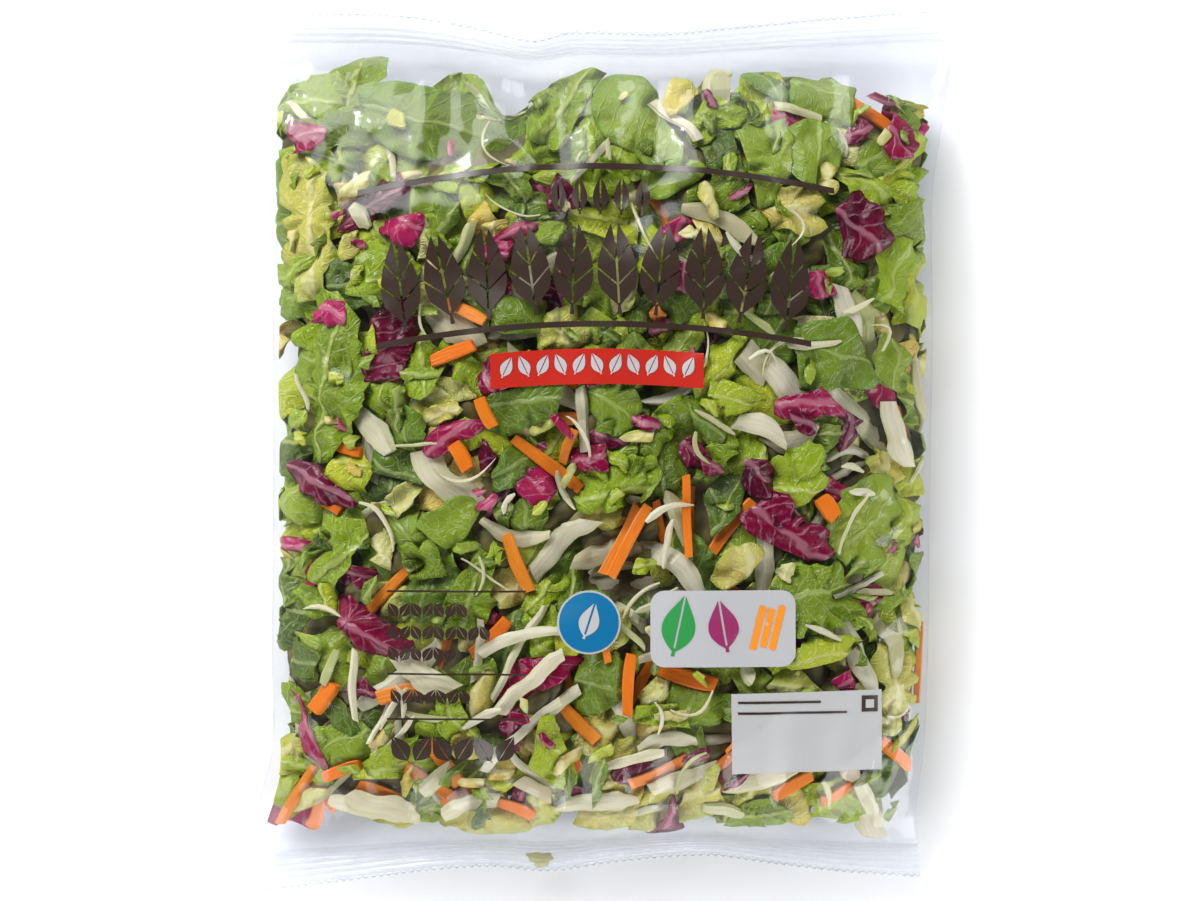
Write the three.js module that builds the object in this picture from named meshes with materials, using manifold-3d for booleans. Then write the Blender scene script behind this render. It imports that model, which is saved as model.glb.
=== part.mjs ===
// A clear pillow bag of chopped mixed salad leaves, sealed at both ends, lying on its back.
// The printed front panel faces up and the bag rests on its flattened back panel.
// Millimetres: +X to the bag's right, +Y to its top seal, +Z up.
// The origin is in the middle of the bag's footprint, on the table.
import * as THREE from 'three';
import { mergeVertices } from 'three/addons/utils/BufferGeometryUtils.js';
import Module from 'manifold-3d';

// Driving sizes of the bag
const TOP_EDGE_Y = 159.5; // furthest corner of the top seal
const BOTTOM_EDGE_Y = -160.4; // furthest corner of the bottom seal
const TOP_SEAL = 12; // height of the crimped band at the top
const BOTTOM_SEAL = 15; // height of the crimped band at the bottom
const SIDE_HEIGHT = 14; // height of the bag's side folds above the table
const FRONT_BULGE = 30; // how far the filled front panel stands above the side folds
const SEAL_THICKNESS = 1.0; // the crimped band, with its ridges
const SEAL_REST = 3.4; // height at which the corners of the seals lie
const SEAL_LIFT = 1.1; // rise of a seal's edge for each millimetre that it draws in
const BASE_SINK = 1.4; // how deep the soft back panel is flattened by the table

// How fast the bag fills out, measured inwards from each seal
const TOP_TAPER = 96;
const BOTTOM_TAPER = 66;
const TAPER_POWER = 0.72;
const DRAW_LENGTH = 28; // length over which a seal curls up and draws in

// Cut edge of the seals
const TOOTH_PITCH = 2.75;
const TOOTH_DEPTH = 1.2;
const CUT_ALLOWANCE = 3;

// Side folds of the bag, as [y, left x, right x]
const SIDES = [
  [-160.4, -125.2, 115.4],
  [-144.0, -126.7, 114.9],
  [-128.0, -123.2, 114.2],
  [-107.0, -118.0, 116.6],
  [-74.0, -118.0, 118.0],
  [-20.0, -117.6, 118.6],
  [40.0, -117.7, 119.7],
  [90.0, -118.6, 119.6],
  [112.0, -121.6, 122.4],
  [128.0, -123.1, 125.0],
  [143.0, -121.6, 126.6],
  [152.0, -117.4, 122.8],
  [159.5, -116.8, 121.0],
];

// Cut edge of the top seal, as [x, y]: it buckles left of the middle
const TOP_EDGE = [
  [-117, 158.4], [-80, 158.2], [-60, 156.0], [-45, 152.6], [-24, 147.3], [-10, 150.6],
  [24, 150.2], [45, 152.4], [85, 156.6], [121, 159.5],
];

// Cut edge of the bottom seal, as [x, y]
const BOTTOM_EDGE = [
  [-125, -160.4], [-95, -156.5], [-60, -151.6], [-38, -150.2], [-18, -152.0], [5, -148.4],
  [38, -145.6], [60, -148.6], [85, -152.0], [115, -154.4],
];

// Soft lumps that the salad pushes into the front panel: [height, waves per metre in x, in y, phase]
const LUMPS = [
  [0.9, 15, 6, 0.4],
  [0.8, -8, 17, 2.1],
  [0.6, 24, -13, 4.0],
  [0.5, 5, 29, 1.2],
  [0.4, -29, -22, 5.3],
];

// Puckers that run in from each seal: [height, wavelength across the bag, phase]
const PUCKERS = [
  [1.3, 34, 0.6],
  [0.8, 19, 2.3],
];
const PUCKER_PEAK = 16; // distance from the seal at which a pucker is deepest

// Mesh of the bag
const AROUND = 96;
const BODY_RINGS = 34;
const SEAL_RINGS = 2;

const { sin, cos, abs, sign, min, max, exp, PI } = Math;
const clamp = (v) => min(1, max(0, v));
const ease = (v) => clamp(v) ** 2 * (3 - 2 * clamp(v));

// Smooth curve through stations [at, value, ...], read at a place. column picks the value.
function through(stations, at, column = 1) {
  const last = stations.length - 1;
  let i = 0;
  while (i < last - 1 && stations[i + 1][0] < at) i += 1;
  const [a, b] = [stations[i], stations[i + 1]];
  const [before, after] = [stations[max(0, i - 1)], stations[min(last, i + 2)]];
  const span = b[0] - a[0];
  const u = clamp((at - a[0]) / span);
  const leave = (span * (b[column] - before[column])) / (b[0] - before[0]);
  const arrive = (span * (after[column] - a[column])) / (after[0] - a[0]);
  return (
    (2 * u ** 3 - 3 * u ** 2 + 1) * a[column] +
    (u ** 3 - 2 * u ** 2 + u) * leave +
    (3 * u ** 2 - 2 * u ** 3) * b[column] +
    (u ** 3 - u ** 2) * arrive
  );
}

// How full the bag is at a distance inwards from a seal, from 0 at the seal to 1
const filled = (distance, taper) => sin((PI / 2) * clamp(distance / taper)) ** TAPER_POWER;

const topDrawnIn = (x) => TOP_EDGE_Y - through(TOP_EDGE, x);
const bottomDrawnIn = (x) => through(BOTTOM_EDGE, x) - BOTTOM_EDGE_Y;

// A point of the film. across runs from -1 at the left fold to 1 at the right one, along is the
// place on the flat bag's length, and side is 1 on the front panel and -1 on the back.
function filmPoint(across, along, side) {
  const left = through(SIDES, along, 1);
  const right = through(SIDES, along, 2);
  const x = (left + right) / 2 + ((right - left) / 2) * across;

  const fromTop = TOP_EDGE_Y - TOP_SEAL - along;
  const fromBottom = along - BOTTOM_EDGE_Y - BOTTOM_SEAL;
  const full = filled(fromTop, TOP_TAPER) * filled(fromBottom, BOTTOM_TAPER);
  const flattened = 1 - (1 - full) ** 2.2;

  const topDrawn = topDrawnIn(x) * ease(1 - (TOP_EDGE_Y - along) / DRAW_LENGTH);
  const bottomDrawn = bottomDrawnIn(x) * ease(1 - (along - BOTTOM_EDGE_Y) / DRAW_LENGTH);
  const y = along - topDrawn + bottomDrawn;

  const sealHeight = SEAL_REST + SEAL_LIFT * (topDrawn + bottomDrawn);
  const fold = sealHeight * (1 - flattened) + SIDE_HEIGHT * flattened;
  const wall = (SEAL_THICKNESS / 2) * (1 - abs(across) ** 12) ** 0.5;
  if (side < 0) {
    const belly = (1 - abs(across) ** 5) ** 0.5;
    return [x, y, fold - wall - SIDE_HEIGHT * flattened * belly - BASE_SINK * full ** 4 * belly];
  }
  const dome = (1 - abs(across) ** 2.5) ** 0.55;
  const nearest = max(0, min(fromTop, fromBottom));
  const pucker = (nearest / PUCKER_PEAK) * exp(1 - nearest / PUCKER_PEAK);
  let relief = 0;
  for (const [height, perX, perY, phase] of LUMPS)
    relief += full * height * sin(2 * PI * (perX * x + perY * y) * 0.001 + phase);
  for (const [height, wavelength, phase] of PUCKERS)
    relief += pucker * height * sin((2 * PI * x) / wavelength + phase + sign(along));
  return [x, y, fold + wall + FRONT_BULGE * full * dome + relief * dome ** 2];
}

// Places along the flat bag at which a ring of the film is made, from the bottom edge to the top
function ringPlaces() {
  const start = BOTTOM_EDGE_Y + BOTTOM_SEAL;
  const end = TOP_EDGE_Y - TOP_SEAL;
  const places = [];
  for (let i = 0; i < SEAL_RINGS; i += 1)
    places.push(BOTTOM_EDGE_Y - CUT_ALLOWANCE + ((BOTTOM_SEAL + CUT_ALLOWANCE) * i) / SEAL_RINGS);
  for (let i = 0; i <= BODY_RINGS; i += 1) {
    const even = i / BODY_RINGS;
    const closer = even - (0.1 / PI) * sin(2 * PI * even); // rings crowd a little at the seals
    places.push(start + (end - start) * closer);
  }
  for (let i = 1; i <= SEAL_RINGS; i += 1)
    places.push(end + ((TOP_SEAL + CUT_ALLOWANCE) * i) / SEAL_RINGS);
  return places;
}

// The whole film as one closed surface, filled solid, before its ends are cut
function pillowGeometry() {
  const places = ringPlaces();
  const half = AROUND / 2;
  const positions = [];
  for (const along of places)
    for (let i = 0; i < AROUND; i += 1) {
      const angle = (2 * PI * i) / AROUND;
      positions.push(...filmPoint(cos(angle), along, i < half ? 1 : -1));
    }
  const faces = [];
  const vertex = (ring, i) => ring * AROUND + ((i + AROUND) % AROUND);
  for (let ring = 0; ring < places.length - 1; ring += 1)
    for (let i = 0; i < AROUND; i += 1) {
      const [a, b] = [vertex(ring, i), vertex(ring, i + 1)];
      const [c, d] = [vertex(ring + 1, i + 1), vertex(ring + 1, i)];
      faces.push(a, c, b, a, d, c);
    }
  for (const [ring, outwards] of [[0, -1], [places.length - 1, 1]])
    for (let i = 0; i < half; i += 1) {
      const [a, b] = [vertex(ring, i), vertex(ring, i + 1)];
      const [c, d] = [vertex(ring, AROUND - i - 1), vertex(ring, AROUND - i)];
      for (const [p, q, r] of [[a, b, c], [a, c, d]])
        if (p !== q && q !== r && r !== p) faces.push(...(outwards > 0 ? [p, r, q] : [p, q, r]));
    }
  return new THREE.BufferGeometry()
    .setAttribute('position', new THREE.Float32BufferAttribute(positions, 3))
    .setIndex(faces);
}

// A block that cuts a seal to its toothed edge. outwards is 1 at the top and -1 at the bottom.
function toothedCutter(edge, outwards) {
  const reach = 140;
  const depth = 60;
  const beyond = outwards * 200;
  const outline = [new THREE.Vector2(-reach, beyond), new THREE.Vector2(reach, beyond)];
  const steps = Math.round((2 * reach) / (TOOTH_PITCH / 2));
  for (let i = 0; i <= steps; i += 1) {
    const x = reach - (i * TOOTH_PITCH) / 2;
    const inTooth = i % 2 ? TOOTH_DEPTH : 0;
    outline.push(new THREE.Vector2(x, through(edge, x) - outwards * inTooth));
  }
  const block = new THREE.ExtrudeGeometry(new THREE.Shape(outline), {
    depth,
    bevelEnabled: false,
  });
  return block.translate(0, 0, -depth / 3);
}

const wasm = await Module();
wasm.setup();

// A closed geometry as a solid that can be cut
function solidOf(geometry) {
  geometry.deleteAttribute('normal');
  geometry.deleteAttribute('uv');
  const merged = mergeVertices(geometry, 1e-4);
  return new wasm.Manifold(
    new wasm.Mesh({
      numProp: 3,
      vertProperties: merged.attributes.position.array,
      triVerts: new Uint32Array(merged.index.array),
    }),
  );
}

function geometryOf(solid) {
  const mesh = solid.getMesh();
  return new THREE.BufferGeometry()
    .setAttribute('position', new THREE.BufferAttribute(mesh.vertProperties, 3))
    .setIndex(new THREE.BufferAttribute(mesh.triVerts, 1));
}

// The filled bag: a pillow with toothed seals, flat where it rests on the table
function saladBag() {
  const table = new THREE.BoxGeometry(400, 400, 40).translate(0, 0, -20);
  const geometry = geometryOf(
    solidOf(pillowGeometry())
      .subtract(solidOf(toothedCutter(TOP_EDGE, 1)))
      .subtract(solidOf(toothedCutter(BOTTOM_EDGE, -1)))
      .subtract(solidOf(table)),
  );
  geometry.computeBoundingBox();
  const middle = geometry.boundingBox.getCenter(new THREE.Vector3());
  geometry.translate(-middle.x, -middle.y, -geometry.boundingBox.min.z);
  const film = new THREE.MeshStandardMaterial({ color: 0x9cba62, roughness: 0.25, metalness: 0 });
  const bag = new THREE.Mesh(geometry, film);
  bag.name = 'salad_bag';
  return bag;
}

const part = new THREE.Group();
part.add(saladBag());

export default part;
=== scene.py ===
import math

import bmesh
import bpy
import numpy as np
from mathutils import Matrix, Vector


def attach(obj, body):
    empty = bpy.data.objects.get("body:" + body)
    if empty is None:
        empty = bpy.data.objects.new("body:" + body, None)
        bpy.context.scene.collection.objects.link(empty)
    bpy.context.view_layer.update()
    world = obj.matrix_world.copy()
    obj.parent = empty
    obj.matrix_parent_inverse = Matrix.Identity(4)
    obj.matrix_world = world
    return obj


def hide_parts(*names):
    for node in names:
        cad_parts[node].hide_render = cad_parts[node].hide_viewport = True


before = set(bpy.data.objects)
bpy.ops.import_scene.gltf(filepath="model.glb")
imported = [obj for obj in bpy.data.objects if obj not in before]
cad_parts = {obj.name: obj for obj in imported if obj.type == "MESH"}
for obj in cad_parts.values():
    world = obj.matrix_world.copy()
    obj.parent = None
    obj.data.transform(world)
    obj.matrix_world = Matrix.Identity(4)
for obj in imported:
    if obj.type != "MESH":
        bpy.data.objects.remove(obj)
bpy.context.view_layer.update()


# The bag is a tube of clear polypropylene film, 35 micrometres thick. Hot ridged jaws seal its
# panels together at both ends and a toothed knife cuts them off. The salad holds the tube open,
# so the film stretches into soft lumps, with puckers where the seals hold it flat.

# The folds are SIDE_HEIGHT over the table, and the front panel rises FRONT_BULGE over them. The
# seals lie SEAL_REST high, and higher by SEAL_LIFT for each millimetre that they are drawn in,
# which is felt for DRAW_LENGTH. A taper is the distance from a seal at which the bag is full.
# BASE_SINK presses the back on the table, and a roundness or a power shapes a cross section.
TOP_EDGE_Y = 159.5
BOTTOM_EDGE_Y = -160.4
TOP_SEAL = 12.0
BOTTOM_SEAL = 15.0
SIDE_HEIGHT = 14.0
FRONT_BULGE = 30.0
SEAL_THICKNESS = 1.0
SEAL_REST = 3.4
SEAL_LIFT = 1.1
BASE_SINK = 1.4
TABLE_GAP = 0.12
TOP_TAPER = 96.0
BOTTOM_TAPER = 66.0
TAPER_POWER = 0.72
DRAW_LENGTH = 28.0
WALL_ROUNDNESS = 12
BELLY_ROUNDNESS = 5
DOME_ROUNDNESS = 2.5
DOME_POWER = 0.55
FLATTENING = 2.2
HALF_TEETH = 176
BOTTOM_ROWS, BODY_ROWS, TOP_ROWS = 28, 152, 23
TOOTH_DEPTH = 1.2
CRIMP_PITCH = 2.4
CRIMP_HEIGHT = 0.22
BOX_CENTRE_Y = -0.375

# Side folds as [y, left x, right x], and the cut edges of the two seals as [x, y]
SIDES = [
    (-160.4, -125.2, 115.4), (-144.0, -126.7, 114.9), (-128.0, -123.2, 114.2),
    (-107.0, -118.0, 116.6), (-74.0, -118.0, 118.0), (-20.0, -117.6, 118.6),
    (40.0, -117.7, 119.7), (90.0, -118.6, 119.6), (112.0, -121.6, 122.4),
    (128.0, -123.1, 125.0), (143.0, -121.6, 126.6), (152.0, -117.4, 122.8),
    (159.5, -116.8, 121.0),
]
TOP_EDGE = [
    (-117, 158.4), (-80, 158.2), (-60, 156.0), (-45, 152.6), (-24, 147.3), (-10, 150.6),
    (24, 150.2), (45, 152.4), (85, 156.6), (121, 159.5),
]
BOTTOM_EDGE = [
    (-125, -160.4), (-95, -156.5), (-60, -151.6), (-38, -150.2), (-18, -152.0), (5, -148.4),
    (38, -145.6), (60, -148.6), (85, -152.0), (115, -154.4),
]

# Soft lumps as (height, waves per metre in x, in y, phase), and puckers as (height, wavelength,
# phase), highest at PUCKER_PEAK from a seal
LUMPS = [
    (0.9, 15, 6, 0.4), (0.8, -8, 17, 2.1), (0.6, 24, -13, 4.0), (0.5, 5, 29, 1.2),
    (0.4, -29, -22, 5.3),
]
PUCKERS = [(1.3, 34, 0.6), (0.8, 19, 2.3)]
PUCKER_PEAK = 16.0

# Creases as (height, turn from +X in degrees, width, length, seed): those that run out from the
# seals, those along the side folds and those of the open film
SEAL_CREASES = [(1.1, 90, 13, 60, 11), (0.7, 62, 11, 46, 12)]
FOLD_CREASES = [(1.3, 80, 7, 30, 13), (0.6, 55, 6, 22, 17)]
OPEN_CREASES = [(0.5, 34, 15, 60, 14), (0.45, -52, 13, 48, 15)]
DENT_HEIGHT, DENT_WIDTH, DENT_SEED = 0.3, 9, 16

# Where creases begin off a seal or a fold, how far they run from each, and where the open film's
# own creases are at their full height
CREASE_START, SEAL_CREASE_REACH, FOLD_CREASE_REACH = 5, 26, 14
OPEN_OFF_SEAL, OPEN_OFF_FOLD = 12, 10

# The ridge that the jaws leave next to a seal
JAW_RIDGE, JAW_PLACE, JAW_WIDTH = 0.4, 1.4, 0.8


def through(stations, at, column=1):
    """Smooth curve through stations, read at an array of places."""
    table = np.array(stations, float)
    places, values = table[:, 0], table[:, column]
    at = np.asarray(at, float)
    i = np.clip(np.searchsorted(places, at) - 1, 0, len(places) - 2)
    before, after = np.maximum(i - 1, 0), np.minimum(i + 2, len(places) - 1)
    span = places[i + 1] - places[i]
    u = np.clip((at - places[i]) / span, 0, 1)
    leave = span * (values[i + 1] - values[before]) / (places[i + 1] - places[before])
    arrive = span * (values[after] - values[i]) / (places[after] - places[i])
    return (
        (2 * u**3 - 3 * u**2 + 1) * values[i]
        + (u**3 - 2 * u**2 + u) * leave
        + (3 * u**2 - 2 * u**3) * values[i + 1]
        + (u**3 - u**2) * arrive
    )


def ease(v):
    """Eases from 0 to 1 as v does."""
    v = np.clip(v, 0, 1)
    return v * v * (3 - 2 * v)


def filled(distance, taper):
    """How full the bag is at a distance from a seal."""
    return np.sin(np.pi / 2 * np.clip(distance / taper, 0, 1)) ** TAPER_POWER


def drawn_in(x, along):
    """How far the curved seals pull the film down from the top edge and up from the bottom one."""
    from_top, from_bottom = TOP_EDGE_Y - along, along - BOTTOM_EDGE_Y
    top_drawn = (TOP_EDGE_Y - through(TOP_EDGE, x)) * ease(1 - from_top / DRAW_LENGTH)
    bottom_drawn = (through(BOTTOM_EDGE, x) - BOTTOM_EDGE_Y) * ease(1 - from_bottom / DRAW_LENGTH)
    return top_drawn, bottom_drawn


def on_flat_bag(across, along):
    """Place in x of a point of the bag, and half the bag's width there."""
    left, right = through(SIDES, along, 1), through(SIDES, along, 2)
    half = (right - left) / 2
    return (left + right) / 2 + half * across, half


def film_point(across, along, side):
    """Places on the film. across is -1 at the left fold and 1 at the right one, along is the
    place on the flat bag's length, and side is 1 on the front panel and -1 on the back."""
    across, along, side = np.broadcast_arrays(across, along, side)
    x, _ = on_flat_bag(across, along)
    from_top = TOP_EDGE_Y - TOP_SEAL - along
    from_bottom = along - BOTTOM_EDGE_Y - BOTTOM_SEAL
    full = filled(from_top, TOP_TAPER) * filled(from_bottom, BOTTOM_TAPER)
    flattened = 1 - (1 - full) ** FLATTENING
    top_drawn, bottom_drawn = drawn_in(x, along)
    y = along - top_drawn + bottom_drawn - BOX_CENTRE_Y
    seal_height = SEAL_REST + SEAL_LIFT * (top_drawn + bottom_drawn)
    fold = seal_height * (1 - flattened) + SIDE_HEIGHT * flattened
    reach = np.minimum(np.abs(across), 1)
    wall = SEAL_THICKNESS / 2 * (1 - reach**WALL_ROUNDNESS) ** 0.5
    belly = (1 - reach**BELLY_ROUNDNESS) ** 0.5
    back = fold - wall - (SIDE_HEIGHT * flattened + BASE_SINK * full**4) * belly
    dome = (1 - reach**DOME_ROUNDNESS) ** DOME_POWER
    nearest = np.maximum(0, np.minimum(from_top, from_bottom)) / PUCKER_PEAK
    pucker = nearest * np.exp(1 - nearest)
    relief = 0
    for height, per_x, per_y, phase in LUMPS:
        waves = 2 * np.pi * (per_x * x + per_y * along) * 0.001
        relief = relief + full * height * np.sin(waves + phase)
    for height, wavelength, phase in PUCKERS:
        waves = 2 * np.pi * x / wavelength + phase + np.sign(along)
        relief = relief + pucker * height * np.sin(waves)
    front = fold + wall + FRONT_BULGE * full * dome + relief * dome**2
    z = np.where(side > 0, front, np.maximum(back, TABLE_GAP))
    return np.stack([x, y, z], -1)


def into_bag(along):
    """Distance from the nearer seal, below zero in the seal."""
    return np.minimum(TOP_EDGE_Y - TOP_SEAL - along, along - BOTTOM_EDGE_Y - BOTTOM_SEAL)


def soft_noise(x, y, cell, seed):
    """Smooth noise between -1 and 1 whose lumps are one cell wide."""
    table = np.random.default_rng(seed).uniform(-1, 1, (64, 64))
    u, v = np.asarray(x) / cell, np.asarray(y) / cell
    i, j = np.floor(u).astype(int), np.floor(v).astype(int)
    fu, fv = ease(u - i), ease(v - j)
    low = table[i % 64, j % 64] * (1 - fu) + table[(i + 1) % 64, j % 64] * fu
    high = table[i % 64, (j + 1) % 64] * (1 - fu) + table[(i + 1) % 64, (j + 1) % 64] * fu
    return low * (1 - fv) + high * fv


def turned(degrees):
    """Cosine and sine of a turn."""
    return math.cos(math.radians(degrees)), math.sin(math.radians(degrees))


def creases(x, y, turn, width, length, seed):
    """Sharp-topped creases between 0 and 1 that run at an angle to +X."""
    c, s = turned(turn)
    lengthwise, sideways = c * x + s * y, c * y - s * x
    return (1 - np.abs(soft_noise(lengthwise * width / length, sideways, width, seed))) ** 5


def crinkle(across, along, side):
    """Height that creases and the crimping jaws give the film, beyond its soft shape."""
    x, half = on_flat_bag(across, along)
    from_seal = into_bag(along)
    from_fold = (1 - np.abs(across)) * half
    sealed = ease(-from_seal / 1.2)
    near_seal = np.exp(-np.maximum(from_seal, 0) / SEAL_CREASE_REACH) * ease(from_seal / CREASE_START)
    near_fold = np.exp(-from_fold / FOLD_CREASE_REACH) * ease(from_fold / CREASE_START)
    open_film = ease(from_seal / OPEN_OFF_SEAL) * ease(from_fold / OPEN_OFF_FOLD)
    height = CRIMP_HEIGHT * sealed * np.sin(2 * np.pi * along / CRIMP_PITCH)
    at_jaw = np.exp(-(((from_seal - JAW_PLACE) / JAW_WIDTH) ** 2))
    height = height + JAW_RIDGE * at_jaw * ease(from_fold / 3)
    loose = DENT_HEIGHT * open_film * soft_noise(x, along, DENT_WIDTH, DENT_SEED)
    places = (near_seal, SEAL_CREASES), (near_fold, FOLD_CREASES), (open_film, OPEN_CREASES)
    for share, made_there in places:
        for crease_height, *way in made_there:
            loose = loose + crease_height * share * creases(x, along, *way)
    return height + np.where(side > 0, loose, 0)


def sheet_spacing():
    """Places across the panels, two to a tooth and closer at the folds, and along them."""
    even = np.linspace(-1, 1, HALF_TEETH + 1)[1:-1]
    close = np.array([0.0, 0.0004, 0.002, 0.006])
    columns = np.concatenate([close - 1, even, (1 - close)[::-1]])
    bottom = np.linspace(BOTTOM_EDGE_Y, BOTTOM_EDGE_Y + BOTTOM_SEAL, BOTTOM_ROWS)
    top = np.linspace(TOP_EDGE_Y - TOP_SEAL, TOP_EDGE_Y, TOP_ROWS)
    body = np.linspace(bottom[-1], top[0], BODY_ROWS)[1:-1]
    return columns, np.concatenate([bottom, body, top])


def film_panel(side):
    """One panel of the bag as a bmesh grid, from the bottom cut edge to the top one."""
    columns, rows = sheet_spacing()
    bm = bmesh.new()
    bmesh.ops.create_grid(bm, x_segments=len(columns) - 1, y_segments=len(rows) - 1, size=1)
    across, along = (v.ravel() for v in np.meshgrid(columns, rows))
    places = film_point(across, along, np.full(across.shape, side))
    places[:, 2] += crinkle(across, along, side)
    tooth = np.where(np.arange(len(columns)) % 2 == 0, TOOTH_DEPTH, 0.0)
    places[: len(columns), 1] += tooth
    places[-len(columns) :, 1] -= tooth
    places[:, 2] = np.maximum(places[:, 2], TABLE_GAP)
    for vertex, place in zip(bm.verts, places):
        vertex.co = place
    if side < 0:
        bmesh.ops.reverse_faces(bm, faces=bm.faces)
    return bm, len(columns)


def pillow():
    """Both panels joined along the folds and across the thickness of the cut edges."""
    front, columns = film_panel(1)
    back, _ = film_panel(-1)
    sheet = bpy.data.meshes.new("back_panel")
    back.to_mesh(sheet)
    rows = len(front.verts) // columns
    front.from_mesh(sheet)
    front.verts.ensure_lookup_table()
    for start, flip in ((0, False), ((rows - 1) * columns, True)):
        upper = [front.verts[start + i] for i in range(columns)]
        lower = [front.verts[rows * columns + start + i] for i in range(columns)]
        for i in range(columns - 1):
            corners = [upper[i], lower[i], lower[i + 1], upper[i + 1]]
            front.faces.new(corners[::-1] if flip else corners)
    bmesh.ops.remove_doubles(front, verts=front.verts, dist=0.003)
    bpy.data.meshes.remove(sheet)
    return front


def paint(code):
    """Linear colour of an sRGB hex code."""
    parts = [int(code[i : i + 2], 16) / 255 for i in (1, 3, 5)]
    return tuple(c / 12.92 if c <= 0.04045 else ((c + 0.055) / 1.055) ** 2.4 for c in parts) + (1,)


def add(tree, kind, inputs=None, give=0, stops=(), **settings):
    """Adds one shader node with its settings, fills or links its inputs, and gives one of its
    outputs. A colour ramp also has its stops, as places and hex codes."""
    made = tree.nodes.new("ShaderNode" + kind)
    for name, value in settings.items():
        setattr(made, name, value)
    for name, value in (inputs or {}).items():
        if isinstance(value, bpy.types.NodeSocket):
            tree.links.new(value, made.inputs[name])
        else:
            made.inputs[name].default_value = value
    if stops:
        elements = made.color_ramp.elements
        while len(elements) < len(stops):
            elements.new(0.5)
        for element, (place, code) in zip(elements, stops):
            element.position = place
            element.color = paint(code)
    return made.outputs[give] if made.outputs else None


def new_material(name):
    """An empty material and its node tree."""
    made = bpy.data.materials.new(name)
    made.use_nodes = True
    made.node_tree.nodes.clear()
    return made, made.node_tree


def as_mesh(bm, name, smooth=True):
    """The finished mesh of a bmesh, taken from millimetres to metres."""
    mesh = bpy.data.meshes.new(name)
    bm.to_mesh(mesh)
    bm.free()
    mesh.transform(Matrix.Scale(0.001, 4))
    mesh.polygons.foreach_set("use_smooth", [smooth] * len(mesh.polygons))
    return mesh


def shown(name, mesh, material):
    """Puts a finished mesh in the scene as one piece that rides on the bag."""
    mesh.materials.append(material)
    piece = bpy.data.objects.new(name, mesh)
    bpy.context.scene.collection.objects.link(piece)
    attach(piece, "root")
    return piece


# Waves and milky patches of the film per metre, so 8 and 45 mm apart. The patches are partly the
# film's own haze and partly a painted veil of reflected light
FILM_RIPPLES = 130
FILM_HAZE_AND_VEIL = 22
STRAIGHT_GLOSS = 0.034
GRAZING_GLOSS = 0.8


def film_material():
    """Clear cast polypropylene: a faint cool tint, a sharp gloss and a little surface haze, more milky
    and less glossy where the jaws have pressed it. Part of its white haze is painted light: the
    patches are partly a painted veil of reflected light, and the stripes on the crimp crests are
    painted highlights."""
    material, tree = new_material("clear_polypropylene_film")
    place = add(tree, "TexCoord", give="Object")
    ripple = add(tree, "TexNoise", {"Vector": place, "Scale": FILM_RIPPLES, "Detail": 0})
    normal = add(tree, "Bump", {"Height": ripple, "Strength": 0.5, "Distance": 0.0016})
    facing = add(tree, "LayerWeight", {"Blend": 0.5, "Normal": normal}, "Facing")
    grazing = add(tree, "Math", {0: facing, 1: 5.0}, operation="POWER")
    gloss = add(tree, "Math", {0: grazing, 1: GRAZING_GLOSS, 2: STRAIGHT_GLOSS},
                operation="MULTIPLY_ADD")
    # Milky patches, partly the film's own haze and partly a painted veil of reflected light
    cloud = add(tree, "TexNoise", {"Vector": place, "Scale": FILM_HAZE_AND_VEIL, "Detail": 2})
    milk_and_veil_patches = add(tree, "MapRange", {0: cloud, 1: 0.56, 2: 0.85, 3: 0.001, 4: 0.02})
    sealed = add(tree, "Attribute", give="Fac", attribute_name="sealed")
    matt = add(tree, "Math", {0: sealed, 1: -0.5, 2: 1.0}, operation="MULTIPLY_ADD", use_clamp=True)
    gloss = add(tree, "Math", {0: gloss, 1: matt}, operation="MULTIPLY")
    # White haze of the seals, with painted highlights on the crimp crests and a painted veil of
    # reflected light
    haze = add(tree, "Math", {0: sealed, 1: 0.24, 2: milk_and_veil_patches}, operation="MULTIPLY_ADD")
    clear = add(tree, "BsdfTransparent", {"Color": paint("#FAFBFE")})
    white = add(tree, "BsdfDiffuse", {"Color": paint("#F1F4F8")})
    veiled = add(tree, "MixShader", {0: haze, 1: clear, 2: white})
    mirror = add(tree, "BsdfGlossy", {"Roughness": 0.13, "Normal": normal})
    film_look = add(tree, "MixShader", {0: gloss, 1: veiled, 2: mirror})
    add(tree, "OutputMaterial", {"Surface": film_look})
    return material


film_bm = pillow()
film_x, film_y = np.array([v.co.xy for v in film_bm.verts]).T
film_along = film_y + BOX_CENTRE_Y
REFINEMENTS = 5
for _ in range(REFINEMENTS):
    top_drawn, bottom_drawn = drawn_in(film_x, film_along)
    film_along = film_y + BOX_CENTRE_Y + top_drawn - bottom_drawn

# How pressed and milky the film is: most on the crests of the seals' crimps, less between them, and in
# patches near the ends. The white stripes on the crests are partly painted highlights, and the patches
# near the ends are partly a painted veil of reflected light.
TOP_PRESSED, BOTTOM_PRESSED, PRESSED_RUN = 136, -138, 6
TOP_MILKY, BOTTOM_MILKY = 104, -120
top_pressed = ease((film_y - TOP_PRESSED) / PRESSED_RUN)
near_seal = np.maximum(top_pressed, ease((BOTTOM_PRESSED - film_y) / PRESSED_RUN))
# White stripes along the crimp crests: partly the milk of pressing, partly painted highlights
ridge_milk_and_sheen = 0.5 + 0.5 * np.sin(2 * np.pi * film_along / CRIMP_PITCH)
seal_milk_and_sheen = near_seal * np.where(into_bag(film_along) < 0, 0.3 + 0.7 * ridge_milk_and_sheen, 0.6)
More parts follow.
